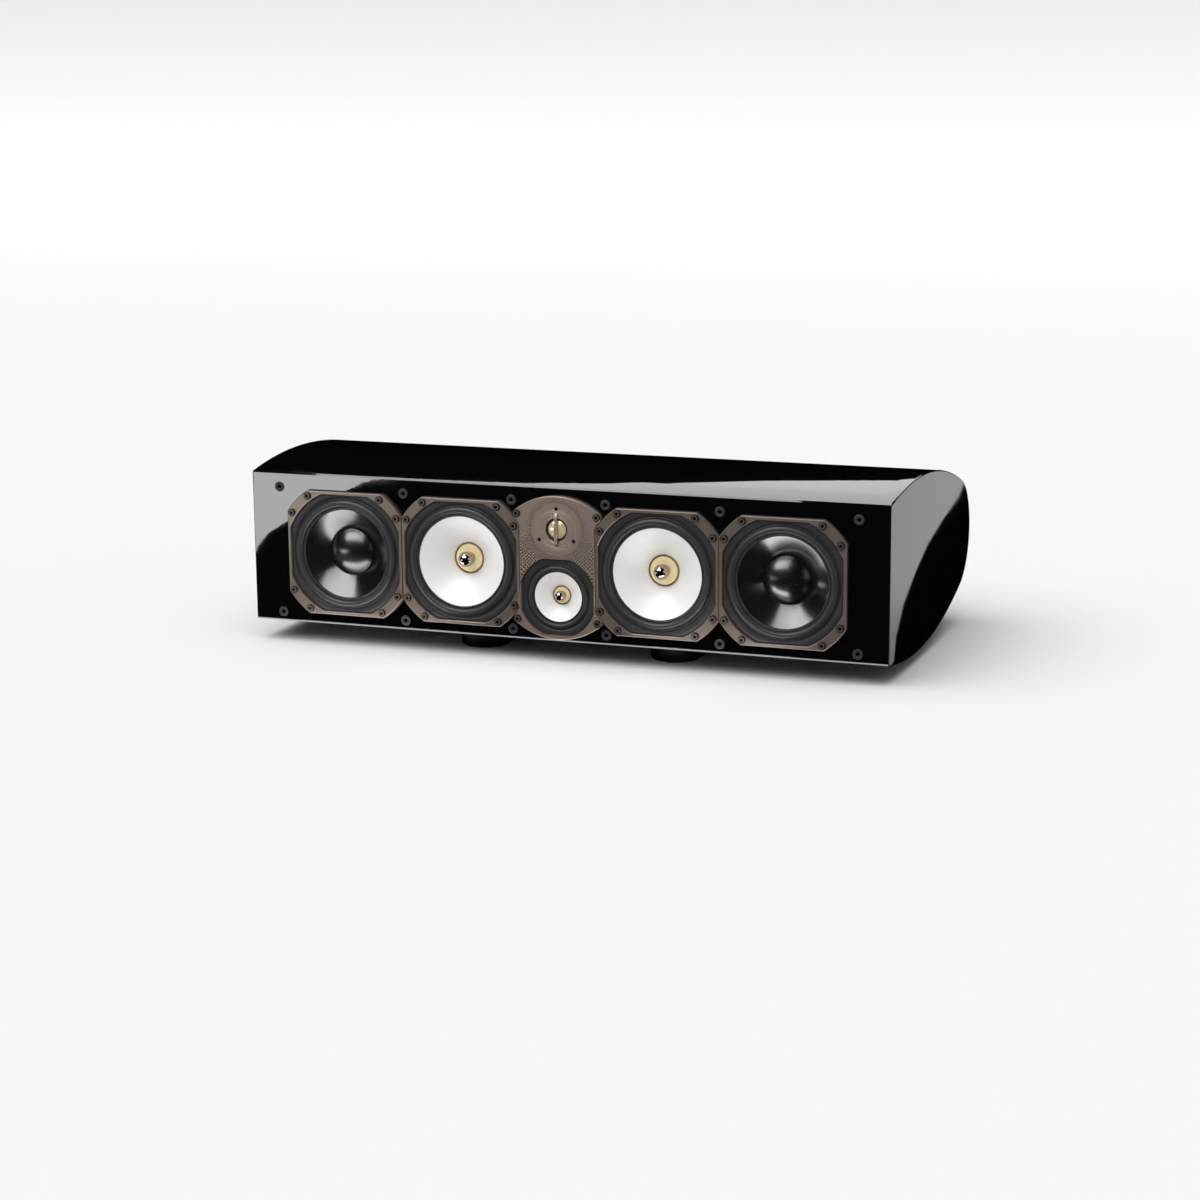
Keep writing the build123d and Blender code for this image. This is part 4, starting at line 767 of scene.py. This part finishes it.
# Bright cards above: one upright in front for cones and caps, one overhead for the front's upper bevel, and
# one upright behind, which the front of the top mirrors
studioCard("highCard", [(-1.12, -1.2, 0.74), (0.2, -1.2, 0.74), (0.3, -1.2, 1.75), (-1.7, -1.2, 1.75)], 0.0,
           fade=(0, -0.5, 0.3, 7.0, 4.0))
studioCard("skyCard", [(-2.0, -1.8, 3.3), (-0.6, -1.8, 3.3), (-0.6, -0.3, 3.3), (-2.0, -0.3, 3.3)], 7.0)
bandEdge = ((-0.22, 1.0), (-0.27, 1.02), (-0.35, 1.09), (-0.53, 1.27), (-0.70, 1.43), (-0.83, 1.58),
            (-1.05, 1.82), (-1.26, 1.97), (-1.47, 2.09), (-1.75, 2.13), (-2.45, 2.15), (-2.45, 3.0),
            (1.5, 3.0), (1.5, 1.0))
studioCard("bandCard", [(x, 2.8, z) for x, z in bandEdge], 0.0, fade=(2, 1.0, 1.6, 1.6, 2.2))
print("studio set")

# Key light: wide and soft from the upper left, kept out of the reflections
key = {"height": 66.0, "turnLeft": 28.0, "strength": 2.6, "spread": 80.0}
lamp = bpy.data.lights.new("softKey", "SUN")
lamp.energy = key["strength"]
lamp.angle = radians(key["spread"])
lampPiece = bpy.data.objects.new("softKey", lamp)
lampPiece.rotation_euler = (radians(90 - key["height"]), 0, radians(-key["turnLeft"]))
lampPiece.visible_glossy = False
bpy.context.scene.collection.objects.link(lampPiece)

# World: white to the camera, to mirrors and to glass; a quarter of that as fill light
world = bpy.data.worlds.new("studio")
world.use_nodes = True
bpy.context.scene.world = world
tree = world.node_tree
path = addNode(tree, "LightPath")
direct = addNode(tree, "Math", {0: path.outputs["Is Camera Ray"], 1: path.outputs["Is Glossy Ray"]},
                 operation="ADD")
shown = addNode(tree, "Math", {0: direct.outputs[0], 1: path.outputs["Is Transmission Ray"]}, operation="ADD")
level = addNode(tree, "MapRange", {0: shown.outputs[0], 3: 0.25, 4: 1.0})
tree.links.new(level.outputs[0], tree.nodes["Background"].inputs["Strength"])
tree.nodes["Background"].inputs["Color"].default_value = toLinear("#ffffff")

# Camera at the photograph's place
view = {"place": (1.3558, -3.65535, 0.8774), "turnLeft": 20.70, "down": 12.083, "roll": -0.49, "lens": 81.04,
        "sensor": 36.0}
cameraData = bpy.data.cameras.new("camera")
cameraData.lens = view["lens"]
cameraData.sensor_width = view["sensor"]
camera = bpy.data.objects.new("camera", cameraData)
camera.matrix_world = (Matrix.Translation(view["place"]) @ Matrix.Rotation(radians(view["turnLeft"]), 4, "Z")
                       @ Matrix.Rotation(radians(90 - view["down"]), 4, "X")
                       @ Matrix.Rotation(radians(view["roll"]), 4, "Z"))
bpy.context.scene.collection.objects.link(camera)
bpy.context.scene.camera = camera
bpy.context.scene.view_settings.view_transform = "Standard"
print("camera set")
